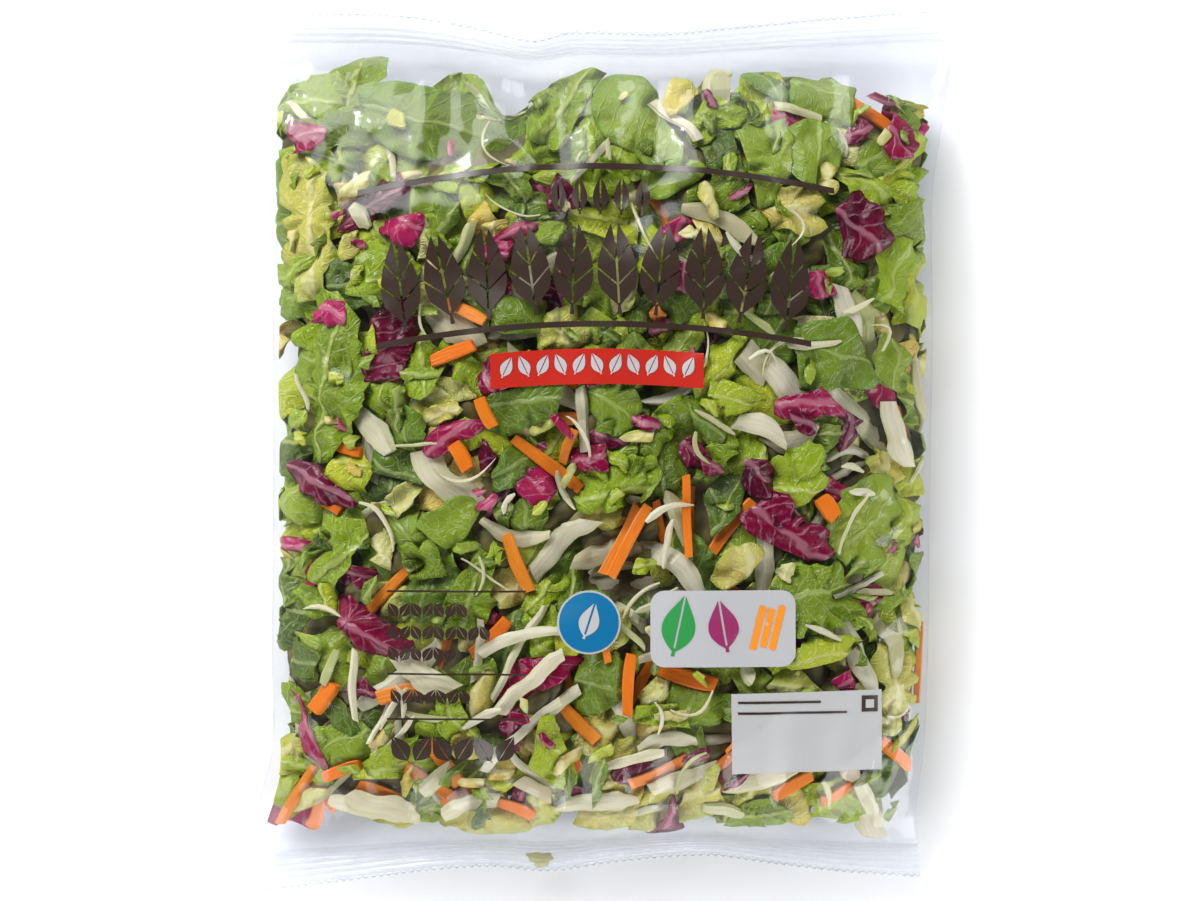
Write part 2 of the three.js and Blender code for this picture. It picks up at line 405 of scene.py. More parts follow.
# Milky patches near the ends, partly the film's haze and partly a painted veil of reflected light
frost_and_veil = 0.5 + 0.5 * soft_noise(film_x, film_y, 13, 61) + 0.3 * soft_noise(film_x, film_y, 5, 62)
end_milk_and_veil = np.maximum(ease((BOTTOM_MILKY - film_y) / 20), 0.45 * ease((film_y - TOP_MILKY) / 30))
sealed = np.maximum(seal_milk_and_sheen, 0.55 * end_milk_and_veil * np.clip(frost_and_veil, 0, 1))
film_mesh = as_mesh(film_bm, "film_bag")
# The attribute sealed carries these painted highlights and the painted veil as well as the milk of the
# seals
film_mesh.attributes.new("sealed", "FLOAT", "POINT").data.foreach_set("value", sealed)
film_bag = shown("film_bag", film_mesh, film_material())
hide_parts("salad_bag")


# The salad is a loose pile that the film presses flat against itself, with no piece fixed. Here
# each piece has its place round the tube of film and a depth in from it. A later piece goes
# under all that lie there, so leaves bend over each other and none runs through another.
GIRTH = 510
AROUND = np.arange(GIRTH) - GIRTH / 2
LENGTHWISE = np.arange(-150, 151)
RING_STEPS = 720
SPINE_MARGIN = 16.0
CONTENT_TOP = 133.0
CONTENT_BOTTOM = -137.0

# The film stands FILM_GAP off the salad, FOLD_GAP more along the folds, and CORNER_GAP times that
# more towards their ends
FILM_GAP = 0.45
FOLD_GAP, FOLD_GAP_WIDTH = 2.8, 7
CORNER_GAP, CORNER_START, CORNER_RUN = 3.5, 98, 34

# Top outline of the pile, as [place around, place along]
TOP_LINE = [
    (-128, 118), (-112, 129), (-100, 135), (-54, 134), (-42, 120), (-34, 118), (-22, 130), (0, 135),
    (60, 134), (100, 134), (114, 126), (128, 120),
]


def tube_tables():
    """The film, the middle surface of the filling behind it, and the fold's place, per cell."""
    angle = np.linspace(1.5 * np.pi, -0.5 * np.pi, RING_STEPS + 1)
    side = np.where(np.sin(angle) >= -1e-9, 1, -1)
    skin = np.empty((GIRTH, len(LENGTHWISE), 3))
    spine = np.empty_like(skin)
    folds = np.empty(len(LENGTHWISE))
    for j, along in enumerate(LENGTHWISE):
        ring = film_point(np.cos(angle), along, side)
        run = np.concatenate([[0], np.cumsum(np.linalg.norm(np.diff(ring, axis=0), axis=1))])
        places = (AROUND / GIRTH + 0.5) * run[-1]
        for axis in range(3):
            skin[:, j, axis] = np.interp(places, run, ring[:, axis])
        reach = np.interp(places, run, np.cos(angle))
        half = np.ptp(ring[:, 0]) / 2
        inner = reach * (1 - SPINE_MARGIN / half)
        spine[:, j] = (film_point(inner, along, 1) + film_point(inner, along, -1)) / 2
        folds[j] = (run[RING_STEPS * 3 // 4] / run[-1] - 0.5) * GIRTH
    return skin, spine, folds


skin, spine, folds = tube_tables()


def blend_read(field, u, v):
    """Value of a field between its cells."""
    u = np.clip(u, 0, field.shape[0] - 1.001)
    v = np.clip(v, 0, field.shape[1] - 1.001)
    i, j = u.astype(int), v.astype(int)
    fu, fv = u - i, v - j
    if field.ndim == 3:
        fu, fv = fu[..., None], fv[..., None]
    low = field[i, j] * (1 - fu) + field[i + 1, j] * fu
    high = field[i, j + 1] * (1 - fu) + field[i + 1, j + 1] * fu
    return low * (1 - fv) + high * fv


def read(field, around, along):
    """Value of a field of the tube, which closes round its back."""
    closed = np.concatenate([field, field[:1]])
    return blend_read(closed, np.mod(around + GIRTH / 2, GIRTH), along - LENGTHWISE[0])


def inside(around, along, depth):
    """Places at a depth in from the film. Depths crowd together as they near the middle."""
    outer, middle = read(skin, around, along), read(spine, around, along)
    gap = np.maximum(np.linalg.norm(middle - outer, axis=-1), 0.3)
    return outer + (middle - outer) * (1 - np.exp(-depth / gap))[..., None]


def starting_depth():
    """The film stands off the salad along the folds and touches it elsewhere."""
    around, along = np.meshgrid(AROUND, LENGTHWISE, indexing="ij")
    off_fold = (np.abs(around) - folds[None, :]) / FOLD_GAP_WIDTH
    ragged = 0.6 + 0.4 * soft_noise(around, along, 17, 21)
    cornered = 1 + CORNER_GAP * ease((np.abs(along) - CORNER_START) / CORNER_RUN)
    return FILM_GAP + FOLD_GAP * np.exp(-(off_fold**2)) * ragged * cornered


pile = starting_depth()


def free_depth(around, along):
    """Depth that is free under the pieces already laid, as a soft leaf bridges it."""
    margin = 5
    low_i, low_j = int(around.min()) + GIRTH // 2 - margin, int(along.min()) - LENGTHWISE[0] - margin
    high_i, high_j = int(around.max()) + GIRTH // 2 + margin, int(along.max()) - LENGTHWISE[0] + margin
    cells_i = np.arange(low_i, high_i + 1) % GIRTH
    cells_j = np.clip(np.arange(low_j, high_j + 1), 0, len(LENGTHWISE) - 1)
    window = pile[np.ix_(cells_i, cells_j)]
    for axis in (0, 1):
        window = np.maximum(window, np.maximum(np.roll(window, 1, axis), np.roll(window, -1, axis)))
    for _ in range(3):
        ring = sum(np.roll(window, step, axis) for step in (1, -1) for axis in (0, 1))
        window = (2 * window + ring) / 6
    return blend_read(window, around + GIRTH / 2 - low_i, along - LENGTHWISE[0] - low_j)


def cover(around, along, depth):
    """Marks the cells of the tube down to which a piece now reaches."""
    i = np.mod(np.round(around + GIRTH / 2).astype(int), GIRTH)
    j = np.clip(np.round(along - LENGTHWISE[0]).astype(int), 0, len(LENGTHWISE) - 1)
    np.maximum.at(pile, (i, j), depth)


# A heap for each kind collects its pieces, to be made into one mesh
heaps = {name: [] for name in ("endive", "lettuce", "pale", "radicchio", "rib", "carrot")}


def pressed_back(past):
    """How far a piece still reaches past the end of the pile."""
    return 5 * (1 - np.exp(-past / 12))


def keep_in(around, along):
    """Holds pieces clear of the seals, with a ragged end to the pile."""
    level = GIRTH / 4 - np.abs(np.mod(around + GIRTH / 4, GIRTH) - GIRTH / 2)
    uneven = soft_noise(level, level * 0, 19, 31) + 0.8 * soft_noise(level, level * 0, 7, 32)
    over = np.maximum(along - through(TOP_LINE, level) - 3 * uneven, 0)
    short = np.maximum(CONTENT_BOTTOM + 4 * uneven - along, 0)
    return along - over + pressed_back(over) + short - pressed_back(short)


def leaf_topology(rings, sectors):
    """Triangles and quads of a thin closed disc, its upper face first."""
    s = np.arange(sectors)
    after = (s + 1) % sectors
    below = 1 + rings * sectors
    tris = [np.stack([np.zeros_like(s), 1 + s, 1 + after], 1)]
    tris.append(np.stack([np.full_like(s, below), below + 1 + after, below + 1 + s], 1))
    quads = []
    for k in range(rings - 1):
        here, there = 1 + k * sectors, 1 + (k + 1) * sectors
        quads.append(np.stack([here + s, there + s, there + after, here + after], 1))
        quads.append(below + np.stack([here + after, there + after, there + s, here + s], 1))
    rim = 1 + (rings - 1) * sectors
    quads.append(np.stack([rim + s, below + rim + s, below + rim + after, rim + after], 1))
    return np.concatenate(tris), np.concatenate(quads)


# How each kind of leaf grows and is cut, in millimetres. frill is the height of the lobes along
# its uncut outline. ruffle, blister, crease and rib are how far its edge, blade, folds and midrib
# stand up, thick is the blade, cuts the usual number of knife cuts and square how square it is.
LEAF_HABITS = {
    "endive": dict(frill=1.7, ruffle=4.2, blister=1.9, crease=5.0, thick=0.45, rib=0.8, cuts=2.2,
                   square=2.2),
    "lettuce": dict(frill=0.5, ruffle=1.8, blister=0.6, crease=3.6, thick=0.5, rib=0.9, cuts=2.4,
                    square=2.5),
    "pale": dict(frill=1.2, ruffle=3.6, blister=1.6, crease=4.4, thick=0.6, rib=1.4, cuts=2.4,
                 square=2.5),
    "radicchio": dict(frill=0.6, ruffle=2.4, blister=0.6, crease=5.0, thick=0.6, rib=1.0, cuts=2.6,
                      square=3.0),
}


# The waves round a leaf that make it lopsided, as (number, share). Then the sizes in millimetres
# of what shapes it: teeth of the rim, blisters, the waves of its ruffle and its pleats.
LOPSIDED = ((1, 0.12), (2, 0.12), (3, 0.1), (4, 0.05))
TEETH, FINE_TEETH = 5.2, 2.6
BLISTERS, FINE_BLISTERS = 6.5, 3.4
LAPS = (9, 15)
PLEATS, PLEAT_WINDING = (9, 20), 14
ANY_PHASE = (0, 6.3)
RIB_HALF_WIDTH = 1.4

# Every chance in the pile falls in this order, so that the bag is always the same
dice = np.random.default_rng(40)


def new_noise(x, y, cell):
    """Smooth noise that is another each time."""
    return soft_noise(x, y, cell, dice.integers(1 << 30))


def distance_along(u, v, way):
    """How far points lie from zero along a direction."""
    return u * np.cos(way) + v * np.sin(way)


def lay_leaf(kind, around, along, length, width, turn, tint, spacing, dive):
    """Cuts one piece of leaf and lays it in the pile. spacing is the size of its faces, and dive
    is how deep and how folded it may lie."""
    habit = LEAF_HABITS[kind]
    half_l, half_w = length / 2, width / 2
    rim_length = math.pi * (half_l + half_w)
    sectors = int(np.clip(rim_length / spacing, 20, 80))
    rings = int(np.clip(half_w / spacing + 1, 3, 8))
    theta = np.arange(sectors) / sectors * 2 * np.pi

    # Its outline: grown round or square and a little lopsided, cut, and frilled where it isn't cut
    square = habit["square"]
    spread = np.abs(np.cos(theta) / half_l) ** square + np.abs(np.sin(theta) / half_w) ** square
    reach = spread ** (-1 / square)
    for waves, share in LOPSIDED:
        reach = reach * (1 + share * np.sin(waves * theta + dice.uniform(*ANY_PHASE)))
    natural = np.ones(sectors)
    for _ in range(dice.poisson(habit["cuts"])):
        facing = dice.uniform(0, 2 * np.pi)
        near = np.interp(facing, np.append(theta, 2 * np.pi), np.append(reach, reach[0]))
        toward = np.cos(theta - facing)
        cut = np.where(toward > 0.15, near * dice.uniform(0.5, 0.85) / np.maximum(toward, 0.15), 1e3)
        natural = np.where(cut < reach, 0.15, natural)
        reach = np.minimum(reach, cut)
    rim_x, rim_y = reach * np.cos(theta), reach * np.sin(theta)
    teeth = 1 - 2 * np.abs(new_noise(rim_x, rim_y, TEETH))
    finer = new_noise(rim_x, rim_y, FINE_TEETH)
    frill = habit["frill"] * min(1, half_w / 7) * natural * (teeth + 0.7 * finer)
    reach = np.maximum(reach + frill, 0.5 * reach)

    # Its relief: ruffled rim, blisters, pleats, a bow, a lean and sometimes a part folded over
    rho = np.concatenate([[0.0], (np.arange(1, rings + 1) / rings) ** 0.85])[:, None]
    u = rho * reach * np.cos(theta)
    v = rho * reach * np.sin(theta)
    lap = round(rim_length / dice.uniform(*LAPS))
    phase = lap * theta + dice.uniform(*ANY_PHASE)
    ruffle = np.sin(phase + 0.8 * np.sin(2 * theta + dice.uniform(*ANY_PHASE)))
    relief = habit["ruffle"] * dice.uniform(0.5, 1.3) * natural * rho**2.2 * ruffle
    relief = relief + habit["blister"] * new_noise(u + 40, v, BLISTERS)
    relief = relief + 0.5 * habit["blister"] * new_noise(u, v + 40, FINE_BLISTERS)
    for _ in range(2):
        run = dice.uniform(0, np.pi)
        pitch = dice.uniform(*PLEATS)
        winding = 3 * new_noise(u, v, PLEAT_WINDING)
        waves = (distance_along(u, v, run) + winding) / pitch + dice.uniform(0, 1)
        pleat = np.abs(2 * (waves - np.floor(waves)) - 1)
        relief = relief + habit["crease"] * dice.uniform(0.15, 0.9) * dive * ease(pleat)
    bow = dice.uniform(0, np.pi)
    curl = dice.uniform(-1.5, 3.0) * dive
    relief = relief + curl * (distance_along(u, v, bow) / half_w) ** 2 * 0.5
    lean = dice.uniform(0, 2 * np.pi)
    slope = dice.uniform(0, 0.3) * dive
    relief = relief + slope * distance_along(u, v, lean)
    if dice.random() < 0.5 * dive:
        fold = dice.uniform(0, 2 * np.pi)
        past = distance_along(u, v, fold) - dice.uniform(0.1, 0.5) * half_w
        relief = relief + dice.uniform(0.4, 1.1) * np.maximum(past, 0)
    rib_line = dice.uniform(-0.25, 0.25) * half_w + dice.choice([0, 0, 0, 1.4]) * width
    ribbed = np.exp(-(((v - rib_line) / RIB_HALF_WIDTH) ** 2))
    thick = habit["thick"] * (1 - 0.5 * rho**4) + habit["rib"] * ribbed * (1 - 0.7 * rho**2)

    # Its place under the pieces that lie there
    c, s = turned(turn)
    place_a = around + c * u - s * v
    place_l = keep_in(place_a, along + s * u + c * v)
    free = free_depth(place_a, place_l)
    base = np.quantile(free, 0.3)
    sunk = dice.uniform(0, 4.5) * dive
    depth = np.maximum(base + sunk + relief - 0.35 * (habit["ruffle"] + habit["crease"]), free)
    under = depth + thick
    for fine_k in (0, 1 / 3, 2 / 3):
        for fine_s in (0, 1 / 3, 2 / 3):
            parts = []
            for field in (place_a, place_l, under):
                rows = field[:-1] * (1 - fine_k) + field[1:] * fine_k
                parts.append(rows * (1 - fine_s) + np.roll(rows, -1, 1) * fine_s)
            cover(*parts)

    def tidy(field):
        return np.concatenate([field[:1, 0], field[1:].ravel()])

    upper = inside(tidy(place_a), tidy(place_l), tidy(depth))
    lower = inside(tidy(place_a), tidy(place_l), tidy(under))
    tris, quads = leaf_topology(rings, sectors)
    edge = tidy(rho * natural)
    where = np.stack([tidy(u + dice.uniform(-6, 6)), tidy(v - rib_line)], 1)
    heaps[kind].append(
        (np.concatenate([upper, lower]), tris, quads, np.tile(where, (2, 1)), tint, np.tile(edge, 2))
    )


def lay_strip(kind, start, end, width, thick, bend, tint, taper, step=2.6):
    """Cuts one stick, shred or rib along a curved path and lays it in the pile. Carrot is stiff
    and square, and a rib is limp and domed."""
    stiff = kind == "carrot"
    start, end = np.array(start, float), np.array(end, float)
    length = max(np.linalg.norm(end - start), 2.0)
    heading = (end - start) / length
    sideways = np.array([-heading[1], heading[0]])
    stations = int(np.clip(length / step, 4, 22)) + 1
    t = np.linspace(0, 1, stations)
    middle = start + np.outer(t, end - start) + np.outer(4 * t * (1 - t) * bend, sideways)
    wander = new_noise(t * length, t * 0, 9)
    middle = middle + np.outer(wander * (0.2 if stiff else 0.9), sideways)
    shares = dice.uniform(1 - 0.45 * taper, 1.1, 5) * [1 - taper, 1, 1, 1, 1 - taper]
    half = width / 2 * np.interp(t, [0, 0.22, 0.5, 0.78, 1], shares)
    if not stiff:
        half = half * (1 + 0.16 * new_noise(t * length, t * 0, 3.4))
    slants = dice.uniform(-0.9, 0.9, 2) * (0.25 if stiff else 1.0)
    slant = slants[0] * (1 - t) ** 2 + slants[1] * t**2
    if stiff:
        corner = np.array([(1, 0.72), (0.78, 1)])
        out = np.concatenate([corner[:, 0], -corner[::-1, 0], -corner[:, 0], corner[::-1, 0]])
        up = np.concatenate([corner[:, 1], corner[::-1, 1], -corner[:, 1], -corner[::-1, 1]])
    else:
        crest = dice.uniform(-0.5, 0.5)
        out = np.array([1, 0.72, crest + 0.12, crest - 0.12, -0.72, -1, -0.94, -0.6, 0.6, 0.94])
        up = np.array([0.0, 0.42, 1, 1, 0.42, 0.0, -0.7, -1, -1, -0.7])
    turn_j = len(out)
    lines = [middle + np.outer(half * w, sideways) for w in (-1, 0, 1)]
    free = np.max([free_depth(p[:, 0], keep_in(p[:, 0], p[:, 1])) for p in lines], axis=0)
    if stiff:
        slope = np.clip(free[-1] - free[0], -7, 7)
        depth = slope * t + np.max(free - slope * t)
    else:
        padded = np.pad(free, 2, mode="edge")
        depth = np.max([padded[i : i + stations] for i in range(5)], axis=0)
        depth = np.convolve(np.pad(depth, 1, mode="edge"), [0.25, 0.5, 0.25], "valid")
        depth = np.maximum(depth, free) + 0.5 * (1 + soft_noise(t * length, t * 0, 12, 77))
    half_thick = thick / 2 * (1 - 0.35 * taper * np.abs(2 * t - 1) ** 3)
    across_it = half[:, None] * out
    ahead = slant[:, None] * across_it
    place_a = middle[:, :1] + sideways[0] * across_it + heading[0] * ahead
    place_l = keep_in(place_a, middle[:, 1:] + sideways[1] * across_it + heading[1] * ahead)
    deep = depth[:, None] + half_thick[:, None] * (1 - up)
    points = inside(place_a, place_l, deep)
    fine_t = np.linspace(0, 1, 4 * stations)
    levels = (middle[:, 0], middle[:, 1], half, slant * half, depth + 2 * half_thick)
    line_a, line_l, wide, skew, reach = (np.interp(fine_t, t, level) for level in levels)
    w = np.linspace(-1, 1, 9)[:, None]
    covered_a = line_a + w * (wide * sideways[0] + skew * heading[0])
    covered_l = line_l + w * (wide * sideways[1] + skew * heading[1])
    cover(covered_a, keep_in(covered_a, covered_l), np.broadcast_to(reach, covered_a.shape))
    s, j = np.arange(stations - 1)[:, None] * turn_j, np.arange(turn_j)
    after = (j + 1) % turn_j
    quads = np.stack([s + j, s + after, s + turn_j + after, s + turn_j + j], -1).reshape(-1, 4)
    caps = []
    last = (stations - 1) * turn_j
    for k in range(1, turn_j - 1):
        caps += [(0, k + 1, k), (last, last + k, last + k + 1)]
    where = np.stack(np.broadcast_arrays(t[:, None] * length, half[:, None] * out), -1)
    edge = np.broadcast_to(np.abs(out), (stations, turn_j)).ravel()
    heaps[kind].append(
        (points.reshape(-1, 3), np.array(caps), quads, where.reshape(-1, 2), tint, edge)
    )


def around_at(x, along):
    """Place round the tube of a point of the front panel."""
    j = int(np.clip(round(along) - LENGTHWISE[0], 0, len(LENGTHWISE) - 1))
    front = np.abs(AROUND) <= folds[j]
    return float(np.interp(x, skin[front, j, 0], AROUND[front]))


# Pieces that the photo shows on top of the pile, as x and y of the middle, length, width, turn
# in degrees and tint from 0 for dark to 1 for pale
RADICCHIO_PLACES = [
    (-102, 113, 26, 17, 10, 0.62), (-71, 80, 18, 13, -25, 0.9), (-28, 79, 18, 7, 25, 0.75),
    (-38, 69, 11, 11, 0, 0.85), (-98, 50, 20, 10, -20, 0.97), (-75, 36, 32, 15, 65, 0.3),
    (-51, 7, 27, 9, 35, 0.8), (-42, -3, 11, 8, 70, 0.15), (-23, -13, 13, 11, 60, 0.85),
    (-40, -20, 11, 5, 30, 0.9), (-100, -12, 30, 11, -20, 0.3), (-2, -3, 15, 10, 10, 0.6),
    (79, 16, 28, 9, 3, 0.8), (40, -7, 35, 8, -28, 0.4), (55, -8, 18, 11, -30, 0.1),
    (67, -29, 32, 15, -35, 0.5), (111, 124, 18, 5, -5, 0.45), (109, 112, 21, 13, -45, 0.7),
    (91, 79, 31, 18, -35, 0.12), (79, 59, 13, 11, -70, 0.93), (102, -54, 18, 8, -40, 0.8),
    (-21, -79, 32, 18, 45, 0.72), (-90, -61, 46, 11, -28, 0.55), (-86, -85, 19, 6, -10, 0.35),
    (-105, -101, 32, 8, -52, 0.75), (14, -115, 21, 9, 15, 0.2), (-11, -121, 12, 9, 0, 0.12),
    (89, -82, 16, 8, 30, 0.8), (5, 3, 14, 7, -20, 0.3), (32, 61, 11, 14, 80, 0.4),
    (76, -67, 16, 7, 20, 0.35), (35, -2, 14, 8, -30, 0.3),
]
LEAF_PLACES = [
    ("lettuce", 96, -28, 31, 24, 40, 0.78), ("endive", 71, -13, 22, 21, 0, 0.7),
    ("lettuce", 86, 33, 40, 22, -15, 0.35), ("endive", -90, -32, 50, 25, 35, 0.55),
    ("endive", -99, 21, 47, 28, 80, 0.4), ("endive", -81, 60, 29, 20, -10, 0.6),
    ("endive", -63, 22, 32, 12, -80, 0.62), ("lettuce", -52, -27, 21, 15, 20, 0.6),
    ("endive", 4, -14, 28, 14, 10, 0.62), ("lettuce", -25, 17, 30, 16, 5, 0.25),
    ("lettuce", 4, 17, 20, 16, -30, 0.5), ("endive", 78, -53, 40, 23, 10, 0.42),
    ("endive", 82, -73, 30, 10, 10, 0.9), ("lettuce", 64, 105, 34, 25, 35, 0.68),
    ("lettuce", 79, 106, 22, 23, 80, 0.62), ("pale", -106, 83, 46, 20, 86, 0.55),
    ("lettuce", -65, 117, 50, 25, -14, 0.4), ("endive", -53, 99, 25, 15, -10, 0.72),
    ("pale", 28, 126, 21, 11, 0, 0.35), ("endive", 94, 94, 32, 15, -28, 0.7),
    ("pale", 68, 86, 23, 15, -10, 0.3), ("lettuce", 108, 31, 29, 16, 85, 0.65),
    ("endive", -18, -107, 24, 20, -30, 0.78), ("endive", 25, -93, 21, 18, 80, 0.7),
    ("pale", 9, -113, 23, 19, 40, 0.45), ("pale", 107, -10, 20, 16, 60, 0.45),
    ("lettuce", -4, -82, 30, 21, -15, 0.4), ("lettuce", -30, -7, 21, 13, 30, 0.15),
    ("endive", 108, 65, 21, 18, 60, 0.65), ("lettuce", 35, 12, 35, 8, -35, 0.3),
    ("endive", 49, 19, 18, 13, -10, 0.8), ("endive", -43, 120, 39, 16, -28, 0.55),
    ("endive", -14, 125, 32, 22, 60, 0.5), ("lettuce", 14, 116, 34, 21, -60, 0.6),
    ("endive", -28, 111, 28, 19, -5, 0.62), ("endive", 42, 121, 28, 16, 30, 0.66),
    ("lettuce", 88, 125, 27, 14, -20, 0.6), ("pale", -32, 106, 21, 13, 10, 0.4),
    ("lettuce", 26, 100, 21, 16, 30, 0.62), ("endive", -102, -53, 25, 14, 20, 0.5),
    ("endive", -48, -53, 32, 16, 70, 0.4), ("endive", -64, -39, 21, 14, 10, 0.35),
    ("lettuce", -95, -94, 39, 9, -20, 0.2), ("endive", -78, -113, 39, 16, 15, 0.72),
    ("pale", -106, -124, 18, 14, 40, 0.6), ("pale", 108, -85, 32, 14, 85, 0.5),
    ("endive", 92, -124, 25, 18, -20, 0.75), ("pale", 35, -124, 32, 16, 10, 0.5),
    ("endive", 60, -129, 39, 13, 5, 0.5), ("pale", -42, -131, 42, 14, 0, 0.5),
    ("pale", 0, -129, 39, 13, 3, 0.42), ("pale", -81, -131, 32, 12, 5, 0.55),
    ("lettuce", 35, -85, 21, 21, 70, 0.65), ("pale", 71, -85, 21, 13, -10, 0.7),
    ("lettuce", 14, 31, 20, 14, -70, 0.55), ("endive", -106, 42, 21, 18, 60, 0.65),
    ("lettuce", 42, -25, 32, 12, 60, 0.15), ("lettuce", -14, -39, 21, 11, 20, 0.3),
    ("endive", 21, 7, 28, 11, 35, 0.35), ("lettuce", -49, 53, 18, 21, 0, 0.2),
    ("pale", 42, 74, 25, 14, -30, 0.4), ("pale", -56, 56, 21, 16, 30, 0.45),
    ("endive", -35, 116, 21, 18, -40, 0.4),
]

# Sticks of carrot as x and y of both ends and width; ribs of pale leaf have their bend as well
CARROT_PLACES = [
    (-60, 31, -45, 37, 4.6), (-55, 52, -41, 45, 4.2), (-43, 18, -38, 8, 4.2),
    (-52, 2, -47, -7, 4.9), (-32, 4, -7, -14, 4.6), (-9, 7, -14, -5, 3.5),
    (-34, -30, -25, -50, 4.6), (18, -20, 4, -45, 4.2), (14, -20, 1, -44, 4.2),
    (31, -9, 32, -38, 2.8), (79, -17, 84, -24, 5.6), (11, -72, 10, -94, 3.9),
    (21, -77, 42, -83, 5.6), (65, -124, 77, -116, 4.9), (11, -119, 32, -110, 4.6),
    (-119, -135, -106, -113, 3.2), (-90, -120, -77, -126, 4.9), (-72, -113, -54, -126, 4.2),
    (-103, -93, -97, -83, 5.3), (-80, -88, -56, -82, 5.3), (19, 50, 23, 46, 4.9),
    (-96, 1, -88, -1, 3.9), (-102, -18, -96, -22, 4.2), (0, -67, 3, -75, 2.8),
    (-16, -89, -1, -103, 4.9), (-14, -115, -7, -111, 4.6), (21, -18, 25, -34, 3.2),
    (-64, -104, -54, -120, 4.9), (-62, -127, -45, -119, 4.2), (46, -108, 60, -99, 4.4),
    (-100, -117, -88, -112, 4.0), (82, -126, 95, -120, 4.2), (-38, -126, -24, -131, 4.0),
]
RIB_PLACES = [
    (-7, 22, -6, -1, 4.2, 0), (-43, -73, -13, -64, 3.9, 3), (-37, -93, -13, -72, 5.3, 1),
    (-40, -88, -20, -55, 2.8, 0), (-43, -25, -18, -30, 6.0, -4), (-10, -40, 15, -34, 7.1, 1),
    (-4, -44, 14, -40, 4.6, 1), (14, -34, 36, -50, 7.8, 3), (13, -17, 14, -19, 8.5, 0),
    (25, -15, 32, -34, 7.8, 1), (86, -52, 104, -44, 2.5, -1), (6, -62, 16, -70, 2.5, 0),
    (52, -77, 54, -82, 5.3, 0), (49, 10, 66, 3, 8.5, 2), (61, 30, 73, 16, 9.9, 1),
    (52, 35, 61, 27, 10.6, 0), (88, 58, 92, 38, 9.5, 1), (95, 56, 103, 31, 7.8, 2),
    (105, 17, 114, -6, 9.5, -2), (30, 86, 57, 73, 7.4, 2), (19, 124, 36, 110, 4.2, 1),
    (64, 122, 82, 118, 3.2, 1), (83, 115, 92, 108, 7.8, 0), (-46, 80, -54, 64, 4.2, 0),
    (-90, 83, -85, 82, 8.5, 0), (-64, 0, -43, -21, 10.6, -3), (-64, 50, -44, 37, 11.3, 1),
    (-95, 17, -76, -1, 9.5, 1), (-25, -44, -3, -25, 7.8, 2), (-42, -115, -14, -89, 3.5, 2),
    (0, -113, 23, -107, 4.6, 1), (91, -60, 99, -87, 7.8, 1), (-16, -128, 14, -124, 7.1, 1),
    (-95, -71, -100, -83, 3.2, 0), (-42, -60, -46, -82, 3.2, 0), (35, -57, 51, -67, 3.2, 1),
    (46, -120, 71, -113, 7.1, -2), (-92, -124, -67, -133, 9.2, 1), (-53, -85, -72, -73, 9.2, 2),
    (95, -120, 101, -131, 4.9, 0), (14, -74, 32, -71, 3.2, 1), (-88, -96, -88, -71, 2.8, 1),
    (62, 1, 78, 6, 9.0, -2), (14, -107, 35, -103, 6.0, 2), (18, -120, 42, -113, 7.0, -2),
    (-19, -93, -7, -85, 5.0, 0), (-67, -122, -56, -114, 6.5, 0), (-57, -131, -38, -125, 6.0, 2),
    (104, -60, 108, -80, 6.0, 1), (74, -104, 96, -117, 8.0, 2), (-100, -126, -84, -131, 6.5, 1),
    (38, -127, 52, -131, 5.5, 0), (60, -100, 71, -108, 6.0, 0), (-30, -118, -18, -124, 5.5, 0),
]


# Knife-cut thickness of the wide and the slim ribs and of the carrot
RIB_THICKNESS, SLIM_THICKNESS = 3.2, 1.5
CARROT_THICKNESS = 3.2
SLIM = 4.0

# A piece is this much longer and wider than the part of it that shows between the others
SHOWN_LENGTH, SHOWN_WIDTH = 1.1, 1.15
THREADS = 22
CRUMBS = 190


def lay_rib(x0, y0, x1, y1, width, bend):
    """Lays a rib of cabbage between two points of the front panel."""
    ends = (around_at(x0, y0), y0), (around_at(x1, y1), y1)
    slim = width < SLIM
    lay_strip("rib", *ends, width, SLIM_THICKNESS if slim else RIB_THICKNESS, bend,
              dice.random(), 0.15 if slim else dice.uniform(0.1, 0.55), 2.2)


def lay_carrot(x0, y0, x1, y1, width):
    """Lays a stick of carrot between two points of the front panel."""
    ends = (around_at(x0, y0), y0), (around_at(x1, y1), y1)
    lay_strip("carrot", *ends, width, min(width, CARROT_THICKNESS), dice.uniform(-0.8, 0.8),
              dice.random(), 0.1, 3.5)


def lay_leaves(places, spacing, dive):
    """Lays pieces of leaf at points of the front panel."""
    for kind, x, y, length, width, turn, tint in places:
        lay_leaf(kind, around_at(x, y), y, length * SHOWN_LENGTH, width * SHOWN_WIDTH, turn, tint,
                 spacing, dive)


for _ in range(THREADS):
    a, along = dice.uniform(-115, 115), dice.uniform(CONTENT_BOTTOM + 8, CONTENT_TOP - 30)
    turn, length = dice.uniform(0, 2 * np.pi), dice.uniform(10, 24)
    end = (a + length * math.cos(turn), along + length * math.sin(turn))
    lay_strip("rib", (a, along), end, dice.uniform(0.9, 1.7), 1.0, dice.uniform(-6, 6),
              dice.random(), 0.4, 2.0)
for _ in range(CRUMBS):
    a, along = dice.uniform(-122, 122), dice.uniform(CONTENT_BOTTOM + 4, CONTENT_TOP - 4)
    kind = dice.choice(["endive", "endive", "pale", "lettuce", "radicchio", "rib"])
    turn, tint = dice.uniform(0, 180), dice.random()
    length, width = dice.uniform(7, 20), dice.uniform(2.5, 6)
    if kind == "rib":
        c, s = turned(turn)
        end = (a + length * c, along + length * s)
        lay_strip("rib", (a, along), end, dice.uniform(1.6, 3.4), 1.3, dice.uniform(-2, 2), tint,
                  0.6)
    else:
        lay_leaf(kind, a, along, length, width, turn, tint, 1.1, 0.6)

